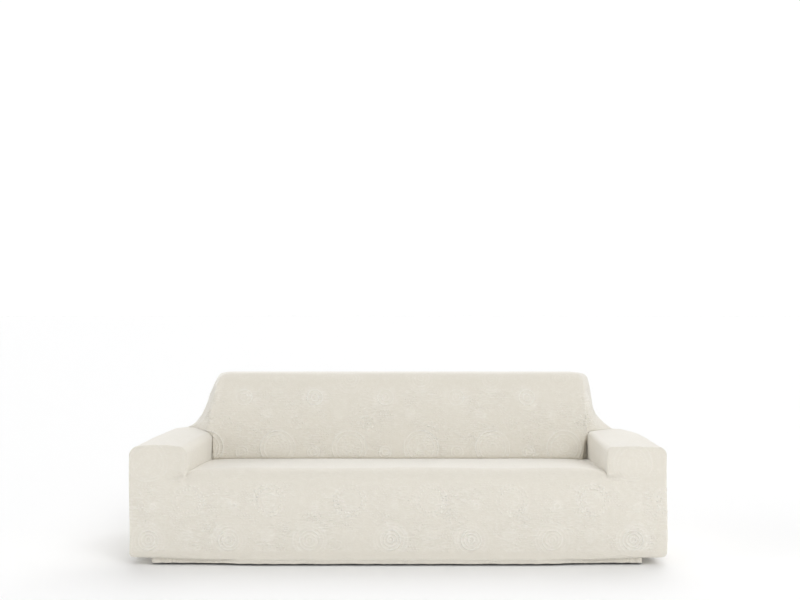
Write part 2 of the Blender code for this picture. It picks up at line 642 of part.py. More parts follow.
# Back: a flat piece inside the turned edges of the others, with its own length of hem.
rear = bmesh.new()
outline = np.concatenate([
    signed(LEFT, rear_outline["left"]),
    over_back(rear_end + REAR_SEAM)[1:-1],
    signed(RIGHT, rear_outline["right"])[::-1],
])
foot_left, foot_right = outline[0], outline[-1]
near_corner = np.array([0.0, 0.0015, 0.006, 0.015, 0.030, 0.050, 0.080])
between = np.concatenate([near_corner, np.linspace(0.12, 0.88, 15), 1.0 - near_corner[::-1]])[:, None]
foot_row = foot_left + (foot_right - foot_left) * between
plate = [rear.verts.new(slack(p)) for p in np.concatenate([outline, foot_row[1:-1][::-1]])]
face = rear.faces.new(plate)
face.normal_update()
if face.normal.y < 0:
    face.normal_flip()
bmesh.ops.triangulate(rear, faces=[face])
halves = [(LEFT, foot_row[:, 0] <= 0), (RIGHT, foot_row[:, 0] >= 0)]
for side, chosen in halves:
    wall = signed(side, foot_row[chosen])
    grid = np.concatenate([with_hem(side, wall), wall[None]])
    add_grid(rear, signed(side, grid), flip=True)
sew("back_rear", rear, (0.80, 0.76, 0.69))
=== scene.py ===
"""The looks of a sofa slipcover: one fitted stretch cover of knitted cream jacquard, pulled tight.

Each panel is cut and shaped here on fine grids, with the raised knit of its pattern, its folds
and its drawn-in hem. Shapes are worked out in metres with X to the viewer's right, depths from
the arm fronts and heights from the floor. Taking MOUNT off them moves them to the frame's origin,
which lies under the middle of the backrest's top.
"""

import math
from collections import namedtuple

import bpy
import numpy as np
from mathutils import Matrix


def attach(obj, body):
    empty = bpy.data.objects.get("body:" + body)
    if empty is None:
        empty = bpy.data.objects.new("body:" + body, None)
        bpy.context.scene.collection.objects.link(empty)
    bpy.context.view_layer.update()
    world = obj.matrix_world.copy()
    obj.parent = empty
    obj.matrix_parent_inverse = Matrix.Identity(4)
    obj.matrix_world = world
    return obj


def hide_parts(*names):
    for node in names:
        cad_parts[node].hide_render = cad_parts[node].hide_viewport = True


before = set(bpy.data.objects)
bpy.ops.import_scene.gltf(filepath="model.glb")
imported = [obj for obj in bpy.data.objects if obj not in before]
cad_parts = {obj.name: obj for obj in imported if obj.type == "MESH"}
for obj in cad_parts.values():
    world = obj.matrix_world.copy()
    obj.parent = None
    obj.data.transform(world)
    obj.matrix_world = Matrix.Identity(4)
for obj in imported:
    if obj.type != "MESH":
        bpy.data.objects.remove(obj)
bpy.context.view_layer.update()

# ------------------------------------------------------------------ camera and room
# The cover is seen straight from the front, from chest height and about five metres away. It
# stands on a wide matt floor in white surroundings. Three broad soft lights shine from afar, and
# a weaker lamp stands nearer, at the front right.

BACK_TOP = 0.797  # height of the backrest's top
CLOTH = 0.0022  # thickness of the cloth
MOUNT = np.array([0.0, 0.820, BACK_TOP - CLOTH])  # the origin, from the arm fronts and the floor
VIEWPOINT = (0.008, -4.900, 1.168)  # from the same place

camera_data = bpy.data.cameras.new("camera")
camera_data.lens = 50.2
camera_data.sensor_width = 36.0
camera = bpy.data.objects.new("camera", camera_data)
camera.location = np.array(VIEWPOINT) - MOUNT
camera.rotation_euler = (math.radians(90.0), 0.0, 0.0)
bpy.context.scene.collection.objects.link(camera)
bpy.context.scene.camera = camera


def smooth_object(name, vertices, faces):
    """A new smooth-shaded mesh object from arrays of points and lists of their numbers."""
    data = bpy.data.meshes.new(name)
    data.from_pydata(vertices, [], faces)
    data.shade_smooth()
    made = bpy.data.objects.new(name, data)
    bpy.context.scene.collection.objects.link(made)
    return made


def disc(radius, rings, spokes):
    """A flat floor: circles of points round its middle, whose radii grow with the cube of their
    number up to the full one."""
    turn = np.arange(spokes) * 2.0 * math.pi / spokes
    reach = np.linspace(0.0, 1.0, rings)[1:, None] ** 3 * radius
    circles = np.stack(np.broadcast_arrays(reach * np.cos(turn), reach * np.sin(turn), 0.0), axis=-1)
    points = np.concatenate([circles.reshape(-1, 3), np.zeros((1, 3))]) - MOUNT
    n = np.arange((rings - 1) * spokes).reshape(rings - 1, spokes)
    n = np.concatenate([n, n[:, :1]], axis=1)
    faces = np.stack([n[:-1, :-1], n[1:, :-1], n[1:, 1:], n[:-1, 1:]], axis=-1).reshape(-1, 4)
    middle = np.stack([np.full(spokes, len(points) - 1), n[0, :-1], n[0, 1:]], axis=-1)
    return smooth_object("studio_floor", points, faces.tolist() + middle.tolist())


class Value:
    """A number that varies over a surface: a shader socket with Python's arithmetic. Each
    operation adds one Math node to the socket's tree."""

    def __init__(self, socket):
        self.socket = socket

    def node(self, kind):
        return self.socket.id_data.nodes.new("ShaderNode" + kind)

    def into(self, socket):
        self.socket.id_data.links.new(self.socket, socket)

    def apply(self, operation, *others):
        node = self.node("Math")
        node.operation = operation
        for value, socket in zip((self, *others), node.inputs):
            if isinstance(value, Value):
                value.into(socket)
            else:
                socket.default_value = value
        return Value(node.outputs[0])

    def __add__(self, other):
        return self.apply("ADD", other)

    def __mul__(self, other):
        return self.apply("MULTIPLY", other)

    def __sub__(self, other):
        return self.apply("SUBTRACT", other)

    def __truediv__(self, other):
        return self.apply("DIVIDE", other)

    def __rsub__(self, other):
        return self * -1.0 + other

    __radd__ = __add__
    __rmul__ = __mul__


class Tree:
    """The nodes of a material or of the surroundings. Each is made by add, from its type, its
    settings and the values or links of its sockets, and plug sets more of them."""

    def __init__(self, owner):
        owner.use_nodes = True
        self.nodes = owner.node_tree.nodes

    def add(self, kind, settings=None, **inputs):
        node = self.nodes.new("ShaderNode" + kind)
        for name, value in (settings or {}).items():
            setattr(node, name, value)
        self.plug(node, **inputs)
        return node

    def plug(self, node, **inputs):
        for name, value in inputs.items():
            socket = node.inputs[name.replace("_", " ")]
            if isinstance(value, Value):
                value.into(socket)
            else:
                socket.default_value = value


floor = disc(radius=80.0, rings=12, spokes=48)
paint = bpy.data.materials.new("pale_floor")
paint_tree = Tree(paint)
paint_tree.plug(paint_tree.nodes["Principled BSDF"], Base_Color=(0.93, 0.93, 0.93, 1.0), Roughness=0.9)
floor.data.materials.append(paint)


def shine(data, height, turn, place=(0.0, 0.0, 0.0)):
    """Puts up a lamp that shines down at an angle of height from a turn to the right of straight
    in front, both in degrees."""
    lamp = bpy.data.objects.new(data.name, data)
    lamp.location = np.array(place) - MOUNT
    lamp.rotation_euler = (math.radians(90.0 - height), 0.0, math.radians(turn))
    bpy.context.scene.collection.objects.link(lamp)


# Soft lights from afar: width is the angle that each fills. The first one stands behind.
Soft = namedtuple("Soft", "name energy width height turn")
for soft in (
    Soft("soft_overhead", 1.40, 60.0, 50.0, 165.0),
    Soft("soft_right", 0.79, 30.0, 40.0, 38.0),
    Soft("soft_left", 0.62, 34.0, 17.0, -80.0),
):
    soft_data = bpy.data.lights.new(soft.name, "SUN")
    soft_data.energy = soft.energy
    soft_data.angle = math.radians(soft.width)
    shine(soft_data, soft.height, soft.turn)

NEAR_PLACE = (3.2, -2.6, 1.7)  # to the right, in front and above the floor
near_data = bpy.data.lights.new("near_right", "AREA")
near_data.energy = 10.0
near_data.size = 2.0
shine(near_data, height=16.0, turn=40.0, place=NEAR_PLACE)

HORIZON_TOP = 0.27  # sine of the height up to which the surroundings are white
CEILING_FROM = 0.45  # and from which they are the dimmer ceiling
SURROUND = 1.03  # brightness of the white surroundings
CEILING = 0.42  # and of the ceiling

studio = bpy.data.worlds.new("studio")
surround = Tree(studio)
direction = Value(surround.add("TexCoord").outputs["Generated"])
upwards = Value(surround.add("SeparateXYZ", Vector=direction).outputs["Z"])
fall = surround.add("MapRange", {"interpolation_type": "SMOOTHSTEP"}, Value=upwards,
                    From_Min=HORIZON_TOP, From_Max=CEILING_FROM, To_Min=SURROUND, To_Max=CEILING)
surround.plug(surround.nodes["Background"], Color=(1.0, 1.0, 1.0, 1.0),
              Strength=Value(fall.outputs["Result"]))
bpy.context.scene.world = studio
bpy.context.scene.view_settings.view_transform = "Standard"

# ------------------------------------------------------------------ front panel
# One length of stretch jacquard covers both arm fronts, the apron, the seat's rolled front and
# the seat. Its lower edge is a hem with elastic in it, which draws it in underneath.

PITCH = 0.0050  # distance between the lines of a panel's grid
EDGE_PITCH = 0.0032  # the same round a rolled edge

HALF_WIDTH = 1.184
DEPTH = 0.900
ARM_TOP = 0.520  # height of the arms at the front
SEAT_BACK = 0.620  # depth at which the seat meets the backrest
SEAM = 0.0003  # between panels that are sewn edge to edge
BUTT = 0.0005  # between a panel's edge and the face that it is tucked against

FRONT_ROLL = 0.012  # radius of the edges round the arm fronts
FRONT_FLAT = 0.008  # cloth between that edge and the seam behind it
ROLL_LENGTH = FRONT_FLAT + FRONT_ROLL * math.pi / 2
OUTER_CORNER = 0.035  # radius of an arm's outer top corner, seen from the front

WALL_FOOT = 0.052  # height at which the upright cloth begins to turn under
HEM_HEIGHT = 0.010  # height of the hem's lower edge
HEM_CLOTH = 0.085  # length of cloth from the wall's foot to that edge
HEM_FRONT = 0.006  # how far the hem is drawn in at the front and the back
HEM_CORNER = 0.030  # radius of its corners
HEM_REACH = 0.240  # how far from a corner the hem leaves the line of the wall
HEM_TURN_FRONT = -0.020  # the wall point that is drawn to the middle of the hem's corner: its
HEM_TURN_BACK = -0.060  # way from the wall's corner, towards the side where positive
HEM_CLEAR = 0.0012  # between the arms' hem and the back's, under the back corners

CREST = 0.425  # height of the seat's front roll
SEAT_REAR = 0.384  # and of the seat at the backrest
SEAT_ROLL = 0.062  # radius of the roll
SEAT_PROUD = 0.012  # how far the apron stands out from the arm fronts
APRON_TOP = 0.400  # the apron widens below this height, onto the arm fronts
APRON_OVER = 0.014  # how far its edge lies outside an arm's inner side there
APRON_FLARE = 0.45  # and how much further for each metre down
APRON_SOFT = 0.030  # half the width of that edge, which softens downwards
DENT_REACH = 0.060  # how far from an arm the seat is still drawn down by it
CREST_DENT = 0.018  # and how much: the crest, the radius of the roll and the rear
ROLL_DENT = 0.012
REAR_DENT = 0.007
SLOT_WIDTH = 0.50  # width of the crevice's bottom at the seat, for each metre of its depth
SLOT_SLOPE = 0.20  # and of the turn into it
SLOT_BESIDE = 0.002  # how far its bottom stays off the arm
SLOT_ONTO = 0.020  # and how far round the arm's edge it is still felt
SLOT_LOW = 0.430  # heights over which the crevice closes
SLOT_HIGH = 0.500

# The cover's two ends: how far from the middle the arm's inner side lies at the front and at the
# back, the radius of its upper edge there, how much its top swells, how far its hem is drawn in,
# how deep the crevice between it and the backrest is, and where the backrest's wing ends on it.
Side = namedtuple("Side", "name sign inner inner_back corner crown hem_in slot wing")
LEFT = Side("left", -1, 0.931, 0.924, 0.034, 0.012, 0.095, 0.009, 1.100)
RIGHT = Side("right", 1, 0.919, 0.940, 0.022, 0.003, 0.106, 0.040, 1.112)
SIDES = (LEFT, RIGHT)

# The drawn-in hem, from the upright cloth to the lower edge: share of the way in, height at the
# corners and along the sides, height in the middle, and the number of grid lines on the way there.
Turn = namedtuple("Turn", "share height middle lines")
HEM = (
    Turn(0.00, WALL_FOOT, WALL_FOOT, 0),
    Turn(0.06, 0.0410, 0.0340, 2),
    Turn(0.20, 0.0360, 0.0275, 1),
    Turn(0.60, 0.0345, 0.0255, 2),
    Turn(1.00, 0.0325, 0.0235, 2),
    Turn(1.00, 0.0215, 0.0170, 2),
    Turn(1.00, HEM_HEIGHT, HEM_HEIGHT, 2),
)
HEM_EVEN = (0.85, 1.10)  # distances from the middle between which it reaches the corners' heights
HEM_FORWARD = 0.010  # how much less it is drawn in along the middle
HEM_BACKWARD = 0.012  # and how much more towards its ends
HEM_ENDS = (0.60, 0.90)  # distances from the middle between which the one gives way to the other
HEM_CORNERS = (1.12, HALF_WIDTH)  # and between which the other dies away
HEM_GATHER = 0.0012  # depth of its small gathers
HEM_SWAY = 0.0008  # height of its slow waves
HEM_ROUND = (0.05, 0.15)  # depths between which all these die away along an arm's outer side

# Folds that run out from the seat's corners across the arm fronts: degrees below level, and sizes.
Fold = namedtuple("Fold", "slope rise length width")
CORNER_FOLDS = (
    Fold(20, 0.0115, 0.105, 0.0062),
    Fold(38, 0.003, 0.17, 0.008),
    Fold(58, 0.002, 0.20, 0.010),
)
FOLD_ROOT = 0.398  # height of the corner that they start from
FOLD_SPREAD = 0.04  # how much a fold widens for each metre of its length

# Slack in the cloth: how far its uneven hollows and swells reach in each direction.
SLACK = (0.0022, 0.0025, 0.0020)


def step(value, low, high):
    """0 below low, 1 above high and an even S between them."""
    t = np.clip((value - low) / (high - low), 0.0, 1.0)
    return t * t * (3.0 - 2.0 * t)


def rolled(way, radius):
    """Cloth that runs straight until way is 0 and then turns a right angle over a radius: how far
    it has come along its old direction, and how far along its new one."""
    turn = np.clip(way / radius, 0.0, math.pi / 2)
    along = np.minimum(way, 0.0) + radius * np.sin(turn)
    across = radius * (1.0 - np.cos(turn)) + np.maximum(way - radius * math.pi / 2, 0.0)
    return along, across


def hem_in(side, out, depth, share):
    """Plan position of cloth that stood at (out, depth) on the wall, moved by a share of the way
    to the hem. The hem runs just inside the front and back, far inside the arms' outer sides, and
    round tight corners. Near a wall corner, the ways along the wall before and after its turning
    point are each mapped evenly onto the hem's shorter ways. Farther on it moves straight in."""
    from_back = depth > DEPTH / 2
    deep = np.where(from_back, DEPTH - depth, depth)
    way = deep - (HALF_WIDTH - out)  # along the wall from the corner: the side is positive
    hem_out = HALF_WIDTH - side.hem_in
    quarter = HEM_CORNER * math.pi / 4
    straight = hem_out - HEM_CORNER - (HALF_WIDTH - HEM_REACH)
    turn = np.where(from_back, HEM_TURN_BACK, HEM_TURN_FRONT)
    front_way = (way + HEM_REACH) / (HEM_REACH + turn) * (straight + quarter) - straight
    side_run = quarter + HEM_REACH - HEM_FRONT - HEM_CORNER
    side_way = (way - turn) / (HEM_REACH - turn) * side_run + quarter
    arc = np.where(way < turn, front_way, side_way)
    along, across = rolled(arc, HEM_CORNER)
    hem_x = hem_out - HEM_CORNER + along
    hem_y = HEM_FRONT + across
    hem_x = np.where(way <= -HEM_REACH, out, hem_x)
    hem_y = np.where(way <= -HEM_REACH, HEM_FRONT, hem_y)
    hem_y = np.where(way >= HEM_REACH, deep, hem_y)
    x = out + (hem_x - out) * share
    y = deep + (hem_y - deep) * share
    return x, np.where(from_back, DEPTH - y, y)


HEM_LINES = np.cumsum([turn.lines for turn in HEM])
HEM_SHARE = np.interp(np.arange(HEM_LINES[-1] + 1), HEM_LINES, [turn.share for turn in HEM])
HEM_RISE = np.interp(np.arange(HEM_LINES[-1] + 1), HEM_LINES, [turn.height for turn in HEM])
HEM_MIDDLE = np.interp(np.arange(HEM_LINES[-1] + 1), HEM_LINES, [turn.middle for turn in HEM])
HEM_AT = HEM_LINES[-1] - HEM_LINES[::-1]  # which of a panel's rows are the table's, lowest first


def with_hem(side, wall, clear=0.0):
    """The rows of the hem below a wall's lowest row of points, lowest first: every point is moved
    in and down by the table's shares and heights. In front it hangs further forward in the middle
    and further back towards its ends, and sine waves whose length varies gather its edge and sway
    its height. clear moves the hem of an arm forwards, off the back's, under the back corner."""
    share = HEM_SHARE[:0:-1, None]
    out, depth = hem_in(side, wall[None, :, 0], wall[None, :, 1], share)
    middle = 1.0 - step(wall[:, 0], *HEM_EVEN)
    height = HEM_RISE[:0:-1, None] + (HEM_MIDDLE - HEM_RISE)[:0:-1, None] * middle
    way = wall[:, 0] * side.sign
    gather = np.sin(way * 210.0 + 2.5 * np.sin(way * 31.0)) * (0.6 + 0.4 * np.sin(way * 17.0 + 1.0))
    sway = np.sin(way * 57.0 + 3.0 * np.sin(way * 11.0))
    front = 1.0 - step(wall[:, 1], *HEM_ROUND)
    ends = step(wall[:, 0], *HEM_ENDS)
    backward = HEM_BACKWARD * ends * (1.0 - step(wall[:, 0], *HEM_CORNERS))
    depth = depth + share * front * (HEM_GATHER * gather - HEM_FORWARD * (1.0 - ends) + backward)
    depth = depth - clear * step(wall[:, 1], 0.5 * DEPTH, 0.9 * DEPTH)
    height = height + HEM_SWAY * share * front * sway
    return np.stack(np.broadcast_arrays(out, depth, height), axis=-1)


def front_relief(side, out, height):
    """Depth of the front face: the apron stands proud of the arm fronts, more towards the seat,
    and pulls folds out of each seat corner across the arm front. A fold is a ridge with a bell
    curve for its section and a trough half as deep two widths above it, and both fade out along
    their length."""
    below = np.maximum(APRON_TOP - height, 0.0)
    edge = side.inner + APRON_OVER + APRON_FLARE * below
    width = APRON_SOFT + 0.5 * below
    proud = (1.0 - step(out, edge - width, edge + width)) * step(height, 0.03, 0.30)
    folds = 0.0
    for fold in CORNER_FOLDS:
        slope = math.radians(fold.slope)
        x = out - side.inner
        z = height - FOLD_ROOT
        along = x * math.cos(slope) - z * math.sin(slope)
        off = x * math.sin(slope) + z * math.cos(slope)
        fade = step(along, -0.01, 0.03) * (1.0 - step(along, 0.3 * fold.length, fold.length))
        width = fold.width + FOLD_SPREAD * np.maximum(along, 0.0)
        folds = folds + fold.rise * fade * np.exp(-((off / width) ** 2))
        folds = folds - 0.5 * fold.rise * fade * np.exp(-(((off - 2.1 * width) / width) ** 2))
    return -SEAT_PROUD * proud - folds


def crevice_slot(side, out, height):
    """How far the cloth is pushed back into the crevice between the backrest and an arm. Across
    it the push grows and falls in even S curves. Upwards it fades in another, and its bottom
    narrows evenly."""
    width = SLOT_WIDTH * np.clip((SLOT_HIGH - height) / (SLOT_HIGH - SEAT_REAR), 0.0, 1.0)
    narrow = side.inner_back - side.slot * width - SLOT_BESIDE
    inside = step(out, narrow - SLOT_SLOPE * side.slot, narrow)
    on_arm = step(out, side.inner_back + SLOT_BESIDE, side.inner_back + SLOT_ONTO)
    return side.slot * inside * (1.0 - on_arm) * (1.0 - step(height, SLOT_LOW, SLOT_HIGH))


def seat(share, v):
    """The apron, the seat's rolled front and the seat. share goes from the left arm (0) to the
    right arm (1). v is 0 to 1 up the apron, 1 to 2 over the roll, a quarter of a circle, and 2 to
    3 back to the crevice, along which the height falls with a power of the way. Near an arm the
    crest, the roll and the rear are drawn down by a falling exponential."""
    share, v = np.broadcast_arrays(share, v)
    pull = step(v, 0.9, 1.7)  # the free cloth between the arms widens to fill the seat
    flat = ROLL_LENGTH - FRONT_ROLL
    edge = [side.inner - flat * (1.0 - pull) for side in SIDES]
    back = step(v, 2.0, 3.0)
    edge = [e + (side.inner_back - side.inner) * back - BUTT * pull for e, side in zip(edge, SIDES)]
    x = -edge[0] + share * (edge[0] + edge[1])
    near = [np.exp(-np.maximum(side.inner - side.sign * x, 0.0) / DENT_REACH) for side in SIDES]
    near_arm = near[0] + near[1]
    crest = CREST - CREST_DENT * near_arm
    roll = SEAT_ROLL - ROLL_DENT * near_arm
    rear = SEAT_REAR - REAR_DENT * near_arm
    top = crest - roll
    up = WALL_FOOT + (top - WALL_FOOT) * np.minimum(v, 1.0)
    side_x = np.abs(x)
    face = np.where(x < 0, front_relief(LEFT, side_x, up), front_relief(RIGHT, side_x, up))
    along, across = rolled(np.clip(v - 1.0, 0.0, 1.0) * roll * math.pi / 2, roll)
    y = face + across
    z = up + along
    push = np.where(x < 0, crevice_slot(LEFT, side_x, rear), crevice_slot(RIGHT, side_x, rear))
    t = np.clip(v - 2.0, 0.0, 1.0)
    y = y + (SEAT_BACK + push * t**6 - BUTT - y) * t
    z = z - (crest - rear) * t**1.25
    return np.stack([x, y, z], axis=-1)


def turned_corner(a, b, radius):
    """Two rolled edges that meet in a rounded corner. a and b are a point's distances along the
    cloth from the two seams; the result is its distances from the two outlines. Lines at one
    distance from the nearer seam turn the corner on arcs about its centre."""
    near, far = np.minimum(a, b), np.maximum(a, b)
    reach = ROLL_LENGTH + radius - FRONT_ROLL
    turn = math.pi / 4 * np.clip((reach - far) / np.maximum(reach - near, 1e-9), 0.0, 1.0)
    left = radius - rolled(near - FRONT_FLAT, FRONT_ROLL)[1]
    short, long = radius - left * np.cos(turn), radius - left * np.sin(turn)
    straight = far >= reach
    plain_a = rolled(a - FRONT_FLAT, FRONT_ROLL)[1]
    plain_b = rolled(b - FRONT_FLAT, FRONT_ROLL)[1]
    out_a = np.where(straight, plain_a, np.where(a <= b, short, long))
    out_b = np.where(straight, plain_b, np.where(a <= b, long, short))
    return out_a, out_b


def front_width(side):
    """Width of an arm front's cloth, from its outer seam to the line where it joins the apron."""
    return HALF_WIDTH - side.inner + 2.0 * (ROLL_LENGTH - FRONT_ROLL)


def arm_front(side, a, level):
    """An arm's front with its three rolled edges, quarters of a circle. a is the distance along
    the cloth from the outer seam, level the height that the cloth would have if it went straight
    up. The top swells by half a sine wave across, and the apron's relief is added inside the
    edges."""
    a, level = np.broadcast_arrays(a, level)
    b = ARM_TOP - FRONT_ROLL + ROLL_LENGTH - level
    outer = a <= front_width(side) / 2
    from_side = np.where(outer, a, front_width(side) - a)
    radius = np.where(outer, OUTER_CORNER, side.corner)
    in_a, in_b = turned_corner(from_side, b, radius)
    x = np.where(outer, HALF_WIDTH - in_a, side.inner + in_a)
    near = np.minimum(from_side, b)
    y = FRONT_ROLL - rolled(near - FRONT_FLAT, FRONT_ROLL)[0]
    across = np.clip((x - side.inner) / (HALF_WIDTH - side.inner), 0.0, 1.0)
    z = ARM_TOP - in_b + side.crown * np.sin(math.pi * across) * step(level, 0.40, ARM_TOP)
    y = y + front_relief(side, x, z) * step(near, ROLL_LENGTH, ROLL_LENGTH + 0.03)
    return np.stack([x, y, z], axis=-1)


def arm_front_below(side, a, joined):
    """The arm front below the seat corner, where its inner edge runs on into the apron. joined
    holds the apron's edge points, one for each row, and the last strip of cloth, as wide as the
    rolled edge above it, leads over to them."""
    level = joined[:, 2][:, None]
    a = a[None, :]
    planar = np.minimum(a, front_width(side) - ROLL_LENGTH)
    out = arm_front(side, np.broadcast_to(planar, (len(joined), a.shape[1])), level)
    inner_x = side.inner + FRONT_ROLL + (front_width(side) - ROLL_LENGTH - planar)
    middle = a > front_width(side) / 2
    face_y = front_relief(side, inner_x, level)
    x = np.where(middle, inner_x, out[..., 0])
    y = np.where(middle, face_y, out[..., 1])
    t = np.clip((a - (front_width(side) - ROLL_LENGTH)) / ROLL_LENGTH, 0.0, 1.0)
    x = x + (joined[:, 0][:, None] - x) * t
    y = y + (joined[:, 1][:, None] - y) * t**1.5
    return np.stack([x, y, np.broadcast_to(level, x.shape)], axis=-1)


def slack(points):
    """Small uneven hollows and swells in the stretched cloth, none of them on the flat back:
    products of slow sine waves."""
    x, y, z = points[..., 0], points[..., 1], points[..., 2]
    free = (1.0 - step(y, 0.70, 0.87)) * step(z, 0.05, 0.12)
    wave_y = np.sin(9.1 * x + 1.3) * np.sin(13.0 * z + 4.0 * x + 0.6)
    wave_x = np.sin(11.0 * z + 0.4) * np.sin(7.0 * y + 1.1)
    wave_z = np.sin(8.3 * x + 0.9) * np.sin(9.0 * y + 0.7)
    moved = np.array(points)
    moved[..., 0] += SLACK[0] * free * wave_x * step(np.abs(x), 1.0, 1.15)
    moved[..., 1] += SLACK[1] * free * wave_y
    moved[..., 2] += SLACK[2] * free * wave_z
    return moved


def signed(side, points):
    """Points given by their distance from the middle, put on their own side."""
    return points * np.array([side.sign, 1.0, 1.0])


def finer(lines, lengths, pitch):
    """Splits each gap between neighbouring lines evenly, into pieces no longer than the pitch.
    Returns the lines, and the places of the old ones among them."""
    counts = np.maximum(np.ceil(lengths / pitch - 0.01).astype(int), 1)
    at = np.concatenate([[0], np.cumsum(counts)])
    return np.interp(np.arange(at[-1] + 1), at, lines), at


# The raised knit repeats across and along the cloth: ring targets, wreaths of beads, large double
# rings, flowers of beads and plain discs, with loose beads between them. Radii and places are in
# metres, a height of 1 is the full relief, rings and rounds of beads are given by radius and
# height, and count is the number of beads in a round.
ACROSS = 0.355
ALONG = 0.704
Motif = namedtuple("Motif", "across along reach disc rings beads count")
MOTIFS = (
    Motif(0.000, 0.000, 0.080, 0.15,
          ((0.000, 0.9), (0.014, 1.0), (0.029, 0.9), (0.044, 1.0), (0.060, 0.35), (0.074, 0.25)), (), 0),
    Motif(0.170, 0.020, 0.038, 0.25, (), (), 0),
    Motif(0.178, 0.176, 0.082, 0.10, ((0.030, 0.3),), ((0.053, 1.5), (0.070, 1.4)), 22),
    Motif(0.020, 0.150, 0.032, 0.25, ((0.012, 0.4),), (), 0),
    Motif(0.000, 0.352, 0.092, 0.20, ((0.085, 1.0), (0.066, 0.8), (0.020, 0.5)),
          ((0.036, 0.6), (0.050, 0.6)), 16),
    Motif(0.178, 0.330, 0.034, 0.20, ((0.000, 0.7), (0.016, 0.7), (0.030, 0.7)), (), 0),
    Motif(0.090, 0.478, 0.040, 0.00, ((0.000, 1.2),), ((0.016, 1.3), (0.033, 1.2)), 8),
    Motif(0.178, 0.607, 0.072, 0.25, ((0.000, 0.6), (0.018, 0.8), (0.039, 0.9)), (), 0),
    Motif(0.300, 0.520, 0.034, 0.28, (), (), 0),
)
MOTIF_RIM = 0.014  # width over which a motif gives way to the loose beads around it
BEADS_ACROSS = 0.0135  # pitch of the loose beads
BEADS_ALONG = 0.0098
LOOSE_HEIGHT = 0.9


def wrapped(value, period):
    """The way from the nearest whole number of periods, of an array or of a shader's value."""
    if isinstance(value, Value):
        return value.apply("WRAP", period / 2, -period / 2)
    return value - np.round(value / period) * period


def square_root(value):
    """Square root of an array or of a shader's value."""
    return value.apply("SQRT") if isinstance(value, Value) else np.sqrt(value)


def cosine(value):
    """Cosine of an array or of a shader's value."""
    return value.apply("COSINE") if isinstance(value, Value) else np.cos(value)


def whole(value):
    """Nearest whole number to an array or to a shader's value."""
    return value.apply("ROUND") if isinstance(value, Value) else np.round(value)


def angle(up, across):
    """Angle of a direction, from arrays or from a shader's values."""
    return up.apply("ARCTAN2", across) if isinstance(up, Value) else np.arctan2(up, across)


def within(value, low, high):
    """Share of the way from low to high, from 0 to 1, of an array or of a shader's value."""
    if isinstance(value, Value):
        return ((value - low) / (high - low)).apply("MAXIMUM", 0.0).apply("MINIMUM", 1.0)
    return np.clip((value - low) / (high - low), 0.0, 1.0)


def peaks(rings, radii, half):
    """Heights at some radii of rings, which rise evenly over half their width and fall again."""
    rises = [rise * np.maximum(1.0 - np.abs(radii - radius) / half, 0.0) for radius, rise in rings]
    return sum(rises, np.zeros(len(radii)))


def bends(motif, half):
    """The radii where a motif's heights bend, and there the heights of its disc and rings, the
    strength of its beads and its cover, which is 1 inside its rim and 0 from its reach on."""
    lines = [radius + side * half for radius, rise in motif.rings + motif.beads for side in (-1, 0, 1)]
    edges = [0.0, motif.reach - MOTIF_RIM, motif.reach]
    radii = np.unique(np.clip(edges + lines, 0.0, motif.reach + half))
    inside = np.where(radii < motif.reach - 0.001, 1.0, 0.0)
    rings, beads = peaks(motif.rings, radii, half), peaks(motif.beads, radii, half)
    return radii, np.stack([rings + motif.disc * inside, beads, inside], axis=-1)


def heights_by_radius(motif, radius, half):
    """Ring height, bead strength and cover at a radius, eased from bend to bend with an even S."""
    radii, heights = bends(motif, half)
    if isinstance(radius, Value):
        ramp = radius.node("ValToRGB")
        ramp.color_ramp.interpolation = "EASE"
        stops = ramp.color_ramp.elements
        for at in (radii / radii[-1])[1:-1]:
            stops.new(at)
        for stop, at, height in zip(stops, radii / radii[-1], heights):
            stop.position = at
            stop.color = (*height / 2.0, 1.0)  # a ramp's colours end at 1, so it holds the halves
        (radius / float(radii[-1])).into(ramp.inputs["Fac"])
        split = radius.node("SeparateColor")
        Value(ramp.outputs["Color"]).into(split.inputs["Color"])
        return [Value(split.outputs[name]) * 2.0 for name in ("Red", "Green", "Blue")]
    i = np.clip(np.searchsorted(radii, radius) - 1, 0, len(radii) - 2)
    t = np.clip((radius - radii[i]) / (radii[i + 1] - radii[i]), 0.0, 1.0)[..., None]
    return np.moveaxis(heights[i] + (heights[i + 1] - heights[i]) * t * t * (3.0 - 2.0 * t), -1, 0)


def raised(s, t, half):
    """Height of the raised knit, 0 to about 1, at a place on the cloth. Each motif is measured
    from the nearest of its centres, as a profile of its rings by radius plus rounds of beads:
    a profile times the square of a cosine wave round the centre. Loose beads lie between them on
    level rows. Each row shifts its beads by a cosine of its number, and two more waves leave
    short runs of beads and gaps."""
    height, cover = 0.0, 0.0
    for motif in MOTIFS:
        u = wrapped(s - motif.across, ACROSS)
        w = wrapped(t - motif.along, ALONG)
        rings, beads, inside = heights_by_radius(motif, square_root(u * u + w * w), half)
        height = height + rings
        cover = cover + inside
        if motif.count:
            round_beads = cosine(angle(w, u) * float(motif.count)) * 0.5 + 0.5
            height = height + beads * round_beads * round_beads
    turn = 2.0 * math.pi
    row = whole(t / BEADS_ALONG)
    shift = cosine(row * 2.4) * 9.0
    beads = cosine(s * (turn / BEADS_ACROSS) + shift) + cosine(t * (turn / BEADS_ALONG))
    runs = cosine(s * (turn / 0.047) + row * 1.9) + cosine(s * (turn / 0.029) - row * 2.7)
    patches = cosine(s * (turn / 0.148) + 1.7) + cosine(t * (turn / 0.094) + s * (turn / 0.31))
    loose = within(beads, 0.6, 1.8) * within(runs + patches * 0.9, 0.5, 1.3)
    return height + loose * (1.0 - within(cover, 0.0, 1.0)) * LOOSE_HEIGHT


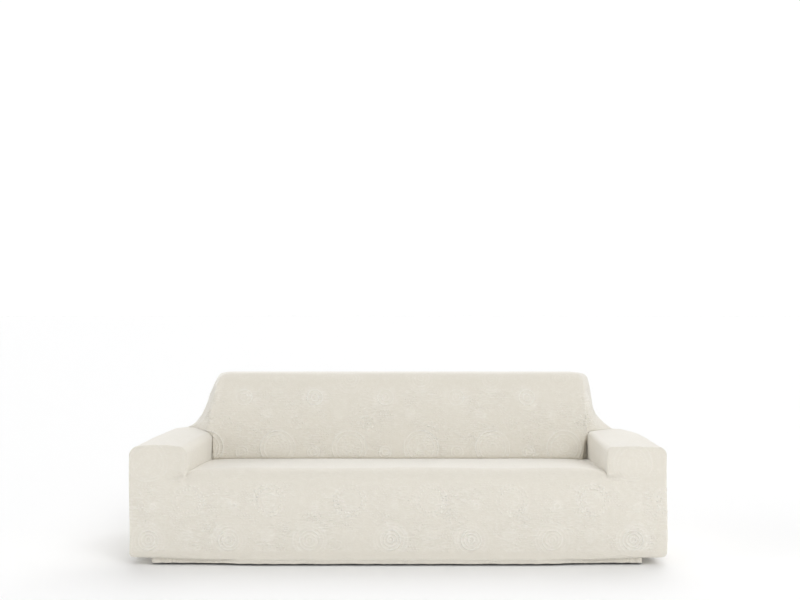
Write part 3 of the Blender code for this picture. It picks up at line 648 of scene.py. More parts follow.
GROUND_WITH_PAINTED_SHADE = (0.745, 0.708, 0.628, 1.0)  # the plain knit between the motifs, also used as painted shade where the knit lies low
RAISED_WITH_PAINTED_LIGHT = (0.880, 0.858, 0.800, 1.0)  # the paler yarn of the motifs, also used as painted light where the knit stands high
RELIEF = 0.0021  # height of the raised knit in the mesh
RIDGE = 0.0065  # and the width of a ridge halfway up
FINE_RELIEF = 0.0019  # the same of the thinner lines on top of it
FINE_RIDGE = 0.0048
CREPE_RELIEF = 0.0010  # height of the ground's short ribs
SLUB_RELIEF = 0.0012  # and of its slubs


def jacquard():
    """Cream stretch jacquard: a fine crepe ground of short level ribs, with slubs, and the raised motifs
    in slightly paler yarn. The ribs and slubs are noise drawn out along the rows. The base colour is
    painted paler where the motifs, ribs and slubs stand high and darker where they lie low: partly the
    yarn's own tone, partly painted light and shade of the relief.
    Everything is worked out from the cloth's own place map, in metres."""
    cloth = bpy.data.materials.new("cream_jacquard")
    tree = Tree(cloth)
    place = Value(tree.add("UVMap", {"uv_map": "cloth_place"}).outputs["UV"])
    split = tree.add("SeparateXYZ", Vector=place)
    shown = Value(tree.add("Attribute", {"attribute_name": "knit_shown"}).outputs["Fac"])
    motifs = raised(Value(split.outputs["X"]), Value(split.outputs["Y"]), FINE_RIDGE) * shown
    stretched = tree.add("VectorMath", {"operation": "MULTIPLY"})
    place.into(stretched.inputs[0])
    stretched.inputs[1].default_value = (1.0, 3.6, 1.0)
    level = Value(stretched.outputs[0])
    flat = {"noise_dimensions": "2D"}
    ribs = tree.add("TexNoise", flat, Vector=level, Scale=95.0, Detail=2.0, Roughness=0.6)
    dashes = tree.add("TexNoise", flat, Vector=level, Scale=36.0, Detail=1.0, Roughness=0.5)
    mottle = tree.add("TexNoise", flat, Vector=place, Scale=38.0, Detail=3.0, Roughness=0.6)
    crepe, patches = Value(ribs.outputs[0]), Value(mottle.outputs[0])
    slubs = within(Value(dashes.outputs[0]), 0.42, 0.70) * (shown * 1.6 - 0.6)
    height = motifs * FINE_RELIEF + crepe * CREPE_RELIEF + slubs * SLUB_RELIEF
    bump = tree.add("Bump", Height=height, Strength=1.0, Distance=1.0)
    tone_with_painted_shade = tree.add("Mix", {"data_type": "RGBA"})  # its colours are on sockets 6 and 7
    # The colour goes towards the paler one with the height of the motifs, the ribs and the slubs, and
    # with random mottled patches: the yarn's own tone, and painted light on the raised knit with painted
    # shade on the low ground.
    share = motifs * 0.58 + patches * 0.4 + crepe * 0.5 + slubs * 0.3 - 0.40
    share.into(tone_with_painted_shade.inputs[0])
    tone_with_painted_shade.inputs[6].default_value = GROUND_WITH_PAINTED_SHADE
    tone_with_painted_shade.inputs[7].default_value = RAISED_WITH_PAINTED_LIGHT
    tree.plug(tree.nodes["Principled BSDF"], Base_Color=Value(tone_with_painted_shade.outputs[2]), Roughness=0.9,
              Specular_IOR_Level=0.2, Sheen_Weight=0.6, Sheen_Roughness=0.4,
              Normal=Value(bump.outputs["Normal"]))
    return cloth


cream = jacquard()

# A panel is one or more grids of cloth. place is the pattern's place and strength at each point,
# rows and columns number the lines that the inner face follows, free names the sides that aren't
# joined to another grid of the panel, and flip turns the faces of a grid over.
Grid = namedtuple("Grid", "points place rows columns free flip")


def evenness(s, t):
    """How clearly the knit stands out, from place to place on the cloth: 0.5 to 1.1, from the sum
    of level, upright and slanting waves of unlike lengths."""
    waves = (np.sin(s * 23.0 + 1.1) + np.sin(t * 31.0 + 2.0 * np.sin(s * 7.0))
             + np.sin(s * 13.0 - t * 17.0 + 0.4) + np.sin(s * 41.0 + t * 29.0))
    return 0.8 + 0.3 * np.clip(waves / 2.2, -1.0, 1.0)


def quads(numbers, flip):
    """The four-sided faces of a grid of point numbers. A face that has shrunk to three corners
    is left as a triangle, and one with two is dropped."""
    ring = [numbers[:-1, :-1], numbers[:-1, 1:], numbers[1:, 1:], numbers[1:, :-1]]
    faces = np.stack(ring[::-1] if flip else ring, axis=-1).reshape(-1, 4)
    same = faces == np.roll(faces, -1, axis=1)
    doubled = same.sum(axis=1)
    triangles = faces[doubled == 1][~same[doubled == 1]].reshape(-1, 3)
    return faces[doubled == 0].tolist() + triangles.tolist()


def edge_strip(outer, inner, at, flip):
    """Faces that close a free side between its outer and inner points, one for each gap of the
    inner face."""
    strip = []
    for i in range(len(at) - 1):
        ring = [*outer[at[i]:at[i + 1] + 1].tolist(), int(inner[i + 1]), int(inner[i])]
        ring = [point for k, point in enumerate(ring) if point != ring[k - 1]]
        strip.append(ring[::-1] if flip else ring)
    return [ring for ring in strip if len(ring) > 2]


def cut_panel(node, grids):
    """A panel of cloth in the place of a solid. Its outer face has all points of its grids,
    raised by the knit along their normals. Its inner face lies a cloth's thickness further in
    and has only the grids' numbered lines, and strips close its free sides. Points of its grids
    that lie within a thousandth of a millimetre of each other become one."""
    points = np.concatenate([slack(grid.points).reshape(-1, 3) for grid in grids]) - MOUNT
    place = np.concatenate([grid.place.reshape(-1, 3) for grid in grids])
    keys = np.round(points * 1e6).astype(np.int64)
    first, number = np.unique(keys, axis=0, return_index=True, return_inverse=True)[1:]
    points, place = points[first], place[first]
    sizes = [grid.points[..., 0].size for grid in grids]
    numbers = [part.reshape(grid.points.shape[:2])
               for part, grid in zip(np.split(number.reshape(-1), np.cumsum(sizes)[:-1]), grids)]
    outer_faces = [face for grid, n in zip(grids, numbers) for face in quads(n, grid.flip)]
    shape = bpy.data.meshes.new("shape")
    shape.from_pydata(points, [], outer_faces)
    normals = np.empty(len(points) * 3)
    shape.vertex_normals.foreach_get("vector", normals)
    normals = normals.reshape(-1, 3)
    bpy.data.meshes.remove(shape)
    shown = place[:, 2] * evenness(place[:, 0], place[:, 1])
    knit = raised(place[:, 0], place[:, 1], RIDGE) * RELIEF * shown
    kept = [n[np.ix_(grid.rows, grid.columns)] for grid, n in zip(grids, numbers)]
    under = np.unique(np.concatenate([k.reshape(-1) for k in kept]))
    inner = points[under] - normals[under] * CLOTH
    below = [np.searchsorted(under, k) + len(points) for k in kept]
    faces = outer_faces + [face for grid, k in zip(grids, below) for face in quads(k, not grid.flip)]
    for grid, n, k in zip(grids, numbers, below):
        for side, outer_edge, inner_edge, at, flip in (
            ("lower", n[0], k[0], grid.columns, True),
            ("upper", n[-1], k[-1], grid.columns, False),
            ("first", n[:, 0], k[:, 0], grid.rows, False),
            ("last", n[:, -1], k[:, -1], grid.rows, True),
        ):
            if side in grid.free:
                faces += edge_strip(outer_edge, inner_edge, at, flip != grid.flip)
    vertices = np.concatenate([points + normals * knit[:, None], inner])
    panel = smooth_object(node + "_cloth", vertices, faces)
    panel.data.set_sharp_from_angle(angle=math.radians(65.0))
    uv = panel.data.uv_layers.new(name="cloth_place")
    corner = np.empty(len(panel.data.loops), dtype=np.int32)
    panel.data.loops.foreach_get("vertex_index", corner)
    both = np.concatenate([place[:, :2], place[under, :2]])
    uv.data.foreach_set("uv", both[corner].reshape(-1))
    strength = panel.data.attributes.new("knit_shown", "FLOAT", "POINT")
    strength.data.foreach_set("value", np.concatenate([shown, shown[under]]))
    panel.data.materials.append(cream)
    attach(panel, "root")
    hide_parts(node)
    return panel


def cloth_way(v):
    """Length of cloth from the foot of the apron to a row of the seat panel, in the middle."""
    return (
        (CREST - SEAT_ROLL - WALL_FOOT) * np.clip(v, 0.0, 1.0)
        + SEAT_ROLL * math.pi / 2 * np.clip(v - 1.0, 0.0, 1.0)
        + (SEAT_BACK - SEAT_ROLL) * np.clip(v - 2.0, 0.0, 1.0)
    )


HEM_WAY = -np.linspace(HEM_CLOTH, 0.0, HEM_LINES[-1] + 1)[:-1]  # cloth below the wall's foot
APRON_ROWS = np.linspace(0.0, 1.0, 7)
CORNER_ROW = 1.5  # where the seat leaves the arm fronts
ROLL_ROWS = np.array([1.25, CORNER_ROW, 1.75, 2.0])
SEAT_ROWS = 2.0 + np.array([0.08, 0.2, 0.36, 0.54, 0.72, 0.88, 1.0])
SEAT_COLUMNS = np.concatenate([[0.0, 0.007, 0.018, 0.038], np.linspace(0.07, 0.93, 14),
                               [0.962, 0.982, 0.993, 1.0]])
ROLL_STEPS = np.array([0.0, FRONT_FLAT, (FRONT_FLAT + ROLL_LENGTH) / 2, ROLL_LENGTH])
ABOVE_SEAT = np.array([0.404, 0.436])  # heights of two lines between there and an arm's top
SEAT_WIDTH = LEFT.inner + RIGHT.inner - 2.0 * (ROLL_LENGTH - FRONT_ROLL)
FRONT_START = -0.062  # the pattern's place at the apron's foot
FRONT_ACROSS = 0.034  # and in the middle of it
KNIT_LINES = (0, 4)  # lines above the wall's foot over which the knit sets in
SEAT_SHOWN = 0.12  # share of its height that shows where the cloth is stretched over the seat
ROLL_FADE = (0.78, 1.25)  # between which rows of the seat panel it comes down to that
ARM_SHOWN = 0.30  # and the share on the upper part of the arm fronts
ARM_FADE = (0.20, 0.30)  # between which lengths of cloth it comes down to that
BESIDE_SEAT = 0.05  # width of cloth on an arm front over which it follows the apron's


def placed(s, t, strength=1.0):
    """The pattern's place for a grid, with how much of its height the cloth shows there."""
    return np.stack(np.broadcast_arrays(s, t, strength), axis=-1).astype(float)


# The apron, the roll and the seat form a tongue between the arms. Up to the row where it leaves
# the arm fronts, they share its rows. All its hem has the right side's gathers.
coarse_v = np.concatenate([APRON_ROWS, ROLL_ROWS, SEAT_ROWS])
v_rows, v_at = finer(coarse_v, np.diff(cloth_way(coarse_v)), PITCH)
shares, share_at = finer(SEAT_COLUMNS, np.diff(SEAT_COLUMNS) * SEAT_WIDTH, PITCH)
tongue = seat(shares[None, :], v_rows[:, None])
corner = int(np.searchsorted(v_rows, CORNER_ROW - 1e-9))
corner_at = int(np.searchsorted(v_at, corner))
hem_rows = with_hem(RIGHT, np.stack([np.abs(tongue[0, :, 0]), tongue[0, :, 1]], axis=1))
hem_rows[..., 0] *= np.sign(tongue[0, :, 0])
left_edge = -LEFT.inner + ROLL_LENGTH - FRONT_ROLL
across_seat = left_edge + shares * SEAT_WIDTH + FRONT_ACROSS
way_rows = cloth_way(v_rows) + FRONT_START
hem_count = len(HEM_WAY)
lower_way = np.concatenate([HEM_WAY + FRONT_START, way_rows[: corner + 1]])
lower_at = np.concatenate([HEM_AT[:-1], v_at[: corner_at + 1] + hem_count])
hem_fade = np.concatenate([np.zeros(hem_count), step(np.arange(corner + 1), *KNIT_LINES)])
roll_fade = 1.0 - (1.0 - SEAT_SHOWN) * step(v_rows, *ROLL_FADE)
tongue_fade = hem_fade * np.concatenate([np.ones(hem_count), roll_fade[: corner + 1]])
front_grids = [
    Grid(np.concatenate([hem_rows, tongue[: corner + 1]]),
         placed(across_seat[None, :], lower_way[:, None], tongue_fade[:, None]),
         lower_at, share_at, ("lower",), False),
    Grid(tongue[corner:], placed(across_seat[None, :], way_rows[corner:, None], roll_fade[corner:, None]),
         v_at[corner_at:] - corner, share_at, ("upper", "first", "last"), False),
]
# Each arm front goes on from an edge of the tongue: below the last shared row in one grid, and
# above it, where all three sides roll back to the seam, in another. The lines of both are kept for
# the arm behind, which is sewn to them.
arm_lines = {}
for side in SIDES:
    edge_column = 0 if side is LEFT else -1
    edge = signed(side, tongue[: corner + 1, edge_column])
    width = front_width(side)
    inner_reach = ROLL_LENGTH + side.corner - FRONT_ROLL
    outer_reach = ROLL_LENGTH + OUTER_CORNER - FRONT_ROLL
    wing_column = HALF_WIDTH - side.wing + ROLL_LENGTH - FRONT_ROLL
    last = width - inner_reach
    middle = wing_column + (last - wing_column) * np.array([0.0, 0.25, 0.5, 0.75])
    coarse_a = np.concatenate([ROLL_STEPS, [outer_reach], middle, [last], width - ROLL_STEPS[::-1]])
    rim = np.minimum(coarse_a[:-1], width - coarse_a[1:]) < ROLL_LENGTH - 1e-6
    a, a_at = finer(coarse_a, np.diff(coarse_a), np.where(rim, EDGE_PITCH, PITCH))
    start = ARM_TOP - FRONT_ROLL + ROLL_LENGTH
    top_rows = np.concatenate([[start - outer_reach, start - inner_reach], start - ROLL_STEPS[::-1]])
    coarse_levels = np.unique(np.round(np.concatenate([ABOVE_SEAT, top_rows]), 6))
    coarse_levels = np.concatenate([[edge[-1, 2]], coarse_levels])
    rim = coarse_levels[1:] > start - ROLL_LENGTH + 1e-6
    levels, level_at = finer(coarse_levels, np.diff(coarse_levels), np.where(rim, EDGE_PITCH, PITCH))
    below = arm_front_below(side, a, edge)
    above = np.concatenate([below[-1:], arm_front(side, a[None, :], levels[1:, None])])
    across_arm = side.sign * (abs(across_seat[edge_column]) + width - a)
    upper_way = way_rows[corner] + levels - levels[0]
    near_seat = step(a, width - BESIDE_SEAT, width)[None, :]
    arm_fade = hem_fade[:, None] + (tongue_fade - hem_fade)[:, None] * near_seat
    arm_fade = arm_fade * (1.0 - (1.0 - ARM_SHOWN) * step(lower_way, *ARM_FADE))[:, None]
    front_grids += [
        Grid(signed(side, np.concatenate([with_hem(side, below[0]), below])),
             placed(across_arm[None, :], lower_way[:, None], arm_fade),
             lower_at, a_at, ("lower", "first"), side is RIGHT),
        Grid(signed(side, above), placed(across_arm[None, :], upper_way[:, None], ARM_SHOWN),
             level_at, a_at, ("upper", "first", "last"), side is RIGHT),
    ]
    arm_lines[side.name] = (edge, v_at[: corner_at + 1], levels, level_at, a, a_at)
front_cloth = cut_panel("front_seat", front_grids)

# ------------------------------------------------------------------ arms
# Each arm is one piece of the same cloth: up the outer side, over the top and down the inner
# side. It is sewn to the front panel just behind the arm front's rolled edge, tucked into the
# crevices beside the seat and the backrest, and turned onto the back.

REAR_ROLL = 0.013  # radius of the edges round the back
REAR_FLAT = 0.005  # cloth between that edge and the seam on the back
REAR_EDGE = DEPTH - REAR_ROLL  # depth at which top and sides begin to turn onto the back
TUCK = 0.012  # how far a panel goes on behind its neighbour in a crevice
ARM_PITCH = 0.0046  # distance between the lines of an arm's grid
CREASE_LEAN = 0.30  # how far a crease leans back on an arm's inner side, for each metre up
DROP_FROM = (0.20, 0.45)  # heights between which the slope of an arm's top sets in
TOP_SHOWN = 0.25  # share of the knit that shows on an arm's top and inner side
TUCK_FADE = (0.10, 0.25)  # shares of the way up the inner side over which it sets in
CREASE_FADE = (0.0, 0.015)  # and of the way forwards from the crease

# How much lower an arm's top lies, by depth.
Drop = namedtuple("Drop", "depth left right")
ARM_DROP = (
    Drop(0.00, 0.000, 0.000),
    Drop(0.30, 0.006, 0.000),
    Drop(0.60, 0.013, 0.004),
    Drop(0.75, 0.017, 0.013),
    Drop(0.90, 0.022, 0.023),
)

# Where a wing of the backrest meets the arm's top: distance from the middle, and depth.
Crease = namedtuple("Crease", "out depth")
CREASES = {
    "left": (Crease(0.924, 0.651), Crease(0.945, 0.662), Crease(0.987, 0.735), Crease(1.030, 0.815),
             Crease(1.070, 0.865), Crease(1.100, REAR_EDGE)),
    "right": (Crease(0.940, 0.654), Crease(0.957, 0.664), Crease(0.983, 0.693), Crease(1.020, 0.750),
              Crease(1.075, 0.835), Crease(1.112, REAR_EDGE)),
}


def through(rows, key, column, at):
    """A smooth curve through one column of a table, by its key column: cubic pieces whose slope
    in each row is the mean of the slopes on both sides, weighted towards the nearer row."""
    x = np.array([getattr(row, key) for row in rows])
    y = np.array([getattr(row, column) for row in rows])
    slope = np.diff(y) / np.diff(x)
    gap = np.diff(x)
    inner = (slope[:-1] * gap[1:] + slope[1:] * gap[:-1]) / (gap[:-1] + gap[1:])
    slopes = np.concatenate([slope[:1], inner, slope[-1:]])
    at = np.clip(at, x[0], x[-1])
    i = np.clip(np.searchsorted(x, at) - 1, 0, len(x) - 2)
    h = gap[i]
    t = (at - x[i]) / h
    return (
        (1 + 2 * t) * (1 - t) ** 2 * y[i]
        + t * (1 - t) ** 2 * h * slopes[i]
        + t * t * (3 - 2 * t) * y[i + 1]
        + t * t * (t - 1) * h * slopes[i + 1]
    )


def inner_side(side, depth):
    """How far from the middle an arm's inner side lies."""
    return side.inner + (side.inner_back - side.inner) * step(depth, 0.05, SEAT_BACK)


def seat_line(side, depth):
    """Height at which the seat meets an arm's inner side, by depth."""
    edge = seat(0.0 if side is LEFT else 1.0, np.linspace(1.2, 3.0, 60))
    return np.interp(depth, edge[:, 1], edge[:, 2])


# An arm's cross-section, by line: the place, the share of the inner side's slant that it follows,
# the fraction of the way down the inner side, or -1 above it, the direction into the arm, and the
# cloth's length so far.
Path = namedtuple("Path", "out height inner_share fraction in_x in_z way")


def arm_path(side, levels, tops, fractions):
    """An arm's cross-section where its panel is sewn to the front, from its foot up the outer
    side, over the top and down the inner side: the seam of the arm front, with straight lines
    added below it on the inner side."""
    start = ARM_TOP - FRONT_ROLL + ROLL_LENGTH
    outer = arm_front(side, np.zeros(len(levels)), levels)
    top = arm_front(side, tops, np.full(len(tops), start))
    inner_levels = levels[levels > ARM_TOP - side.corner + 1e-6][::-1]
    turn = arm_front(side, np.full(len(inner_levels), front_width(side)), inner_levels)
    down = np.array([[side.inner, 0.0, 0.0]] * len(fractions))
    points = np.concatenate([outer, top, turn, down])
    fraction = np.concatenate([np.full(len(points) - len(fractions), -1.0), fractions])
    out, height = points[:, 0], points[:, 2]
    height = np.where(fraction >= 0, ARM_TOP - side.corner, height)
    share = np.clip((side.wing - out) / (side.wing - side.inner - side.corner), 0.0, 1.0)
    outer_x = np.clip(out - (HALF_WIDTH - OUTER_CORNER), 0.0, OUTER_CORNER) / OUTER_CORNER
    upright = np.arcsin(outer_x)
    low = height < ARM_TOP - OUTER_CORNER
    upright = np.where(low & (out > side.wing), math.pi / 2, upright)
    inner_depth = ARM_TOP - side.corner - SEAT_REAR
    rise = height - np.maximum(fraction, 0.0) * inner_depth
    lengths = np.hypot(np.diff(out), np.diff(rise))
    way = np.concatenate([[0.0], np.cumsum(lengths)])
    return Path(out, height, share, fraction, -np.sin(upright), -np.cos(upright), way)


def crease_depth(side, out, height):
    """Depth at which an arm's surface ends against the backrest, by its place in the section. On
    the inner side it leans back with the backrest."""
    below = np.maximum(ARM_TOP - side.corner - height, 0.0)
    crease = through(CREASES[side.name], "out", "depth", out) - CREASE_LEAN * below
    return crease + crevice_slot(side, out, height)


def arm_point(side, path, depth):
    """The points of an arm's surface on each line of its cross-section, at depths that are given
    as one row for each line. The section is carried back, with its inner side slanting out, its
    top falling, and the foot of its inner side on the seat's line."""
    fall = through(ARM_DROP, "depth", side.name, depth)
    height, fraction = path.height[:, None], np.maximum(path.fraction, 0.0)[:, None]
    x = path.out[:, None] - (side.inner - inner_side(side, depth)) * path.inner_share[:, None]
    z = height - fall * step(height, *DROP_FROM)
    foot = seat_line(side, depth) - TUCK
    return np.stack([x, depth, z - fraction * (z - foot)], axis=-1)


def arm_back(path, edge, ways):
    """Cloth that has gone some ways past the rear edge, one column for each: it rolls onto the
    back and runs inwards."""
    along, across = rolled(ways[None, :], REAR_ROLL)
    x = edge[:, None, 0] + path.in_x[:, None] * across
    z = edge[:, None, 2] + path.in_z[:, None] * across
    return np.stack(np.broadcast_arrays(x, edge[:, None, 1] + along, z), axis=-1)


DOWN = np.array([0.0, 0.3, 0.6, 0.88, 1.0])  # lines down the inner side
SEAT_LEVEL = 3  # the line of these that lies at the seat, above the tucked edge
AWAY = np.array([0.0, 0.012, 0.045, 0.10, 0.20, 0.33, 0.47, 0.61, 0.73, 0.83, 0.91, 0.965, 1.0])
REAR_END = REAR_ROLL * math.pi / 2 + REAR_FLAT  # cloth from the rear edge to the seam behind
REAR_WAYS = np.array([0.0, 0.5 * REAR_ROLL * math.pi / 2, REAR_ROLL * math.pi / 2, REAR_END])
REAR_SEAM = 0.0006  # between panels on the back, where the drawn-in hem narrows it
SIDE_START = 0.10  # the pattern's place at an arm's front seam

# An arm has three grids: the outer side and the part of the top that reach the back, their turn
# onto the back, and the rest of the top with the inner side, which ends at the crease.
down, down_at = finer(DOWN, np.diff(DOWN) * (ARM_TOP - SEAT_REAR), ARM_PITCH)
away, away_at = finer(AWAY, np.diff(AWAY) * REAR_EDGE, ARM_PITCH)
rear_ways, rear_at = finer(REAR_WAYS, np.diff(REAR_WAYS), EDGE_PITCH)
creases, crease_at, rear_outline = {}, {}, {}
for side in SIDES:
    edge, edge_at, levels, level_at, a, a_at = arm_lines[side.name]
    all_levels = np.concatenate([edge[:, 2], levels[1:]])
    all_at = np.concatenate([edge_at, level_at[1:] + len(edge) - 1])
    path = arm_path(side, all_levels, a[1:-1], down)
    turned = all_at[all_levels[all_at] > ARM_TOP - side.corner + 1e-6]
    over_top = len(all_levels) + a_at[1:-1] - 1
    over_turn = len(all_levels) + len(a) - 2 + (len(all_levels) - 1 - turned[::-1])
    over_down = len(path.out) - len(down) + down_at
    line_at = np.concatenate([all_at, over_top, over_turn, over_down])
    rough = arm_point(side, path, np.full((len(path.out), 1), SEAT_BACK))[:, 0]
    ends = np.where(path.out >= side.wing - 1e-6, REAR_EDGE, crease_depth(side, rough[:, 0], rough[:, 2]))
    seam = FRONT_ROLL + FRONT_FLAT + SEAM
    grid = arm_point(side, path, seam + (ends - seam)[:, None] * away)
    rear = int(np.argmax(path.out < side.wing - 1e-6)) - 1
    rear_line = int(np.searchsorted(line_at, rear))
    wrap = arm_back(path, grid[:, -1], rear_ways)[: rear + 1]
    hem = with_hem(side, grid[0], HEM_CLEAR)
    wrap_hem = with_hem(side, wrap[0], HEM_CLEAR)
    t = np.concatenate([HEM_WAY, path.way])
    outer_at = np.concatenate([HEM_AT[:-1], line_at[: rear_line + 1] + hem_count])
    main = np.concatenate([hem, grid[: rear + 1]])
    s_main = SIDE_START + grid[..., 1]
    s_hem = np.broadcast_to(s_main[0], (hem_count, len(away)))
    s_outer = np.concatenate([s_hem, s_main[: rear + 1]])
    level_fade = TOP_SHOWN + (1.0 - TOP_SHOWN) * np.abs(path.in_x)
    fade = np.concatenate([np.zeros(hem_count), step(np.arange(rear + 1), *KNIT_LINES)])
    fade = (fade * np.concatenate([np.ones(hem_count), level_fade[: rear + 1]]))[:, None]
    tucked_fade = step(1.0 - np.maximum(path.fraction, 0.0), *TUCK_FADE) * level_fade
    inner_fade = step(1.0 - away, *CREASE_FADE)[None, :] * tucked_fade[rear:, None]
    arm_grids = [
        Grid(signed(side, main), placed(s_outer, t[: len(main), None], fade),
             outer_at, away_at, ("lower", "first"), side is LEFT),
        Grid(signed(side, np.concatenate([wrap_hem, wrap])),
             placed(SIDE_START + REAR_EDGE + rear_ways[None, :], t[: len(main), None], fade),
             outer_at, rear_at, ("lower", "last", "upper"), side is LEFT),
        Grid(signed(side, grid[rear:]), placed(s_main[rear:], path.way[rear:, None], inner_fade),
             line_at[rear_line:] - rear, away_at, ("upper", "first", "last"), side is LEFT),
    ]
    arm_cloth = cut_panel("arm_" + side.name, arm_grids)
    foot_line = len(path.out) - len(down) + down_at[SEAT_LEVEL]
    creases[side.name] = grid[rear : foot_line + 1, -1][::-1]
    inside = line_at[(line_at >= rear) & (line_at <= foot_line)]
    crease_at[side.name] = (foot_line - inside)[::-1]
    rear_outline[side.name] = arm_back(path, grid[:, -1], np.array([REAR_END + REAR_SEAM]))[:rear, 0]

# ------------------------------------------------------------------ backrest
# The backrest's cloth runs from the crevice behind the seat up its leaning front, over the top
# and a little way onto the back. At both ends it narrows to a wing on top of the arm.

KNEE_BELOW = 0.045  # how far down the backrest's front its upper turn begins
KNEE_BEHIND = 0.040  # and how far back over the top it ends
BELLY = 0.012  # how far the backrest's front swells between seat and top
LIP = 0.012  # how far it stands out over the seat and the arms, right above its foot
LIP_RADIUS = 0.050  # length of cloth over which it does so
LIP_FULL = 0.15  # a front that is shorter than this has a smaller one
TUCK_BACK = 0.003  # how far behind its foot the tucked edge lies
WING_GAP = 0.004  # share of the top that the last column keeps off the wing's first
BACKREST_PITCH = 0.0046  # distance between the lines of the backrest's grid
OUTWARDS = np.array([1.0, 0.0, 0.0])
BACKWARDS = np.array([0.0, 1.0, 0.0])
UPWARDS = np.array([0.0, 0.0, 1.0])
OFF_ARM = np.array([-0.88, 0.47, 0.0])  # square to the crease across an arm's top

# A wing's two upper lines, by the share of the way along its crease from the seat to the back:
# the knee, where the leaning front turns over, and the rear edge, which is the cover's outline.
Line = namedtuple("Line", "share knee_out knee_depth knee_height rear_out rear_height")
WINGS = {
    "left": (
        Line(0.00, 0.868, 0.757, 0.797, 0.855, 0.797),
        Line(0.12, 0.893, 0.757, 0.790, 0.888, 0.795),
        Line(0.235, 0.913, 0.752, 0.765, 0.925, 0.784),
        Line(0.35, 0.930, 0.742, 0.705, 0.949, 0.745),
        Line(0.50, 0.952, 0.738, 0.640, 0.972, 0.690),
        Line(0.68, 0.985, 0.775, 0.572, 1.000, 0.615),
        Line(0.86, 1.042, 0.845, 0.527, 1.045, 0.539),
        Line(1.00, 1.100, 0.884, 0.509, 1.100, 0.509),
    ),
    "right": (
        Line(0.00, 0.884, 0.757, 0.797, 0.885, 0.797),
        Line(0.12, 0.912, 0.757, 0.791, 0.940, 0.790),
        Line(0.235, 0.932, 0.752, 0.767, 0.973, 0.775),
        Line(0.35, 0.946, 0.742, 0.700, 0.988, 0.735),
        Line(0.50, 0.968, 0.742, 0.626, 1.000, 0.665),
        Line(0.68, 1.004, 0.780, 0.563, 1.015, 0.592),
        Line(0.86, 1.062, 0.848, 0.526, 1.060, 0.539),
        Line(1.00, 1.112, 0.884, 0.508, 1.112, 0.509),
    ),
}


def wing_line(side, share):
    """Knee and rear-edge points of a wing, by the share of the way along its crease."""
    rows = WINGS[side.name]
    knee = [through(rows, "share", name, share) for name in ("knee_out", "knee_depth", "knee_height")]
    rear = [through(rows, "share", name, share) for name in ("rear_out", "rear_height")]
    return np.stack(knee, axis=-1), np.stack([rear[0], np.full_like(share, REAR_EDGE), rear[1]], axis=-1)


def wing_direction(side, share):
    """The way in which a wing's rear edge runs, away from the middle."""
    near, far = np.maximum(share - 0.01, 0.0), np.minimum(share + 0.01, 1.0)
    return wing_line(side, far)[1] - wing_line(side, near)[1]


def in_crevice(points):
    """How far points of the backrest lie back in the crevices beside the arms."""
    out, height = np.abs(points[..., 0]), points[..., 2]
    push = [crevice_slot(side, out, height) for side in SIDES]
    return np.where(points[..., 0] < 0, push[0], push[1])[..., None] * BACKWARDS


def backrest(foot, knee, rear, outwards, v):
    """The leaning front from foot to knee (v 0 to 1), the turn at the knee (1 to 2) and the top
    back to the rear edge (2 to 3), as three smooth lengths that join without a corner: a straight
    line, a curve of second degree and a straight line, with a belly of half a sine wave. Just
    above the foot it swells outwards in a quarter of an ellipse, which dies away up the front.
    The crevices beside the arms are cut in last, so that the cloth above them stays smooth."""
    v = v[:, None, None]
    foot = foot - in_crevice(foot)
    down, back = foot - knee, rear - knee
    down_len = np.linalg.norm(down, axis=-1, keepdims=True)
    back_len = np.linalg.norm(back, axis=-1, keepdims=True)
    first = knee + down * np.minimum(KNEE_BELOW, 0.4 * down_len) / np.maximum(down_len, 1e-6)
    last = knee + back * np.minimum(KNEE_BEHIND, 0.4 * back_len) / np.maximum(back_len, 1e-6)
    t = np.clip(v - 1.0, 0.0, 1.0)
    front = foot + (first - foot) * np.minimum(v, 1.0)
    turn = (1 - t) ** 2 * first + 2 * t * (1 - t) * knee + t * t * last
    top = last + (rear - last) * (v - 2.0)
    point = np.where(v <= 1.0, front, np.where(v <= 2.0, turn, top))
    belly = BELLY * np.clip(down_len / (BACK_TOP - SEAT_REAR), 0.0, 1.0)
    point = point - belly * np.sin(math.pi * np.minimum(v, 1.0)) * BACKWARDS
    length = np.linalg.norm(first - foot, axis=-1, keepdims=True)
    under = 1.0 - np.clip(v * length / LIP_RADIUS, 0.0, 1.0)
    lip = LIP * np.clip(length / LIP_FULL, 0.0, 1.0) * np.sqrt(1.0 - under**2)
    point = point + lip * (1.0 - np.minimum(v, 1.0)) ** 1.5 * outwards
    return point + in_crevice(point)


def joined_up(parts, middle):
    """The left wing's points, the middle's and the right wing's, from left to right."""
    return np.concatenate([signed(LEFT, parts["left"])[::-1], middle, signed(RIGHT, parts["right"])])


def between_wings(parts, shares):
    """Points that lead evenly from near the left wing's first point to near the right wing's."""
    left, right = signed(LEFT, parts["left"][0]), parts["right"][0]
    return left + (right - left) * (WING_GAP + (1.0 - 2.0 * WING_GAP) * shares)[:, None]


def over_back(ways):
    """The backrest's cloth some ways past the rear edge, one row for each."""
    along, across = rolled(ways, REAR_ROLL)
    return rear_line_points + inward * across[:, None, None] + BACKWARDS * along[:, None, None]


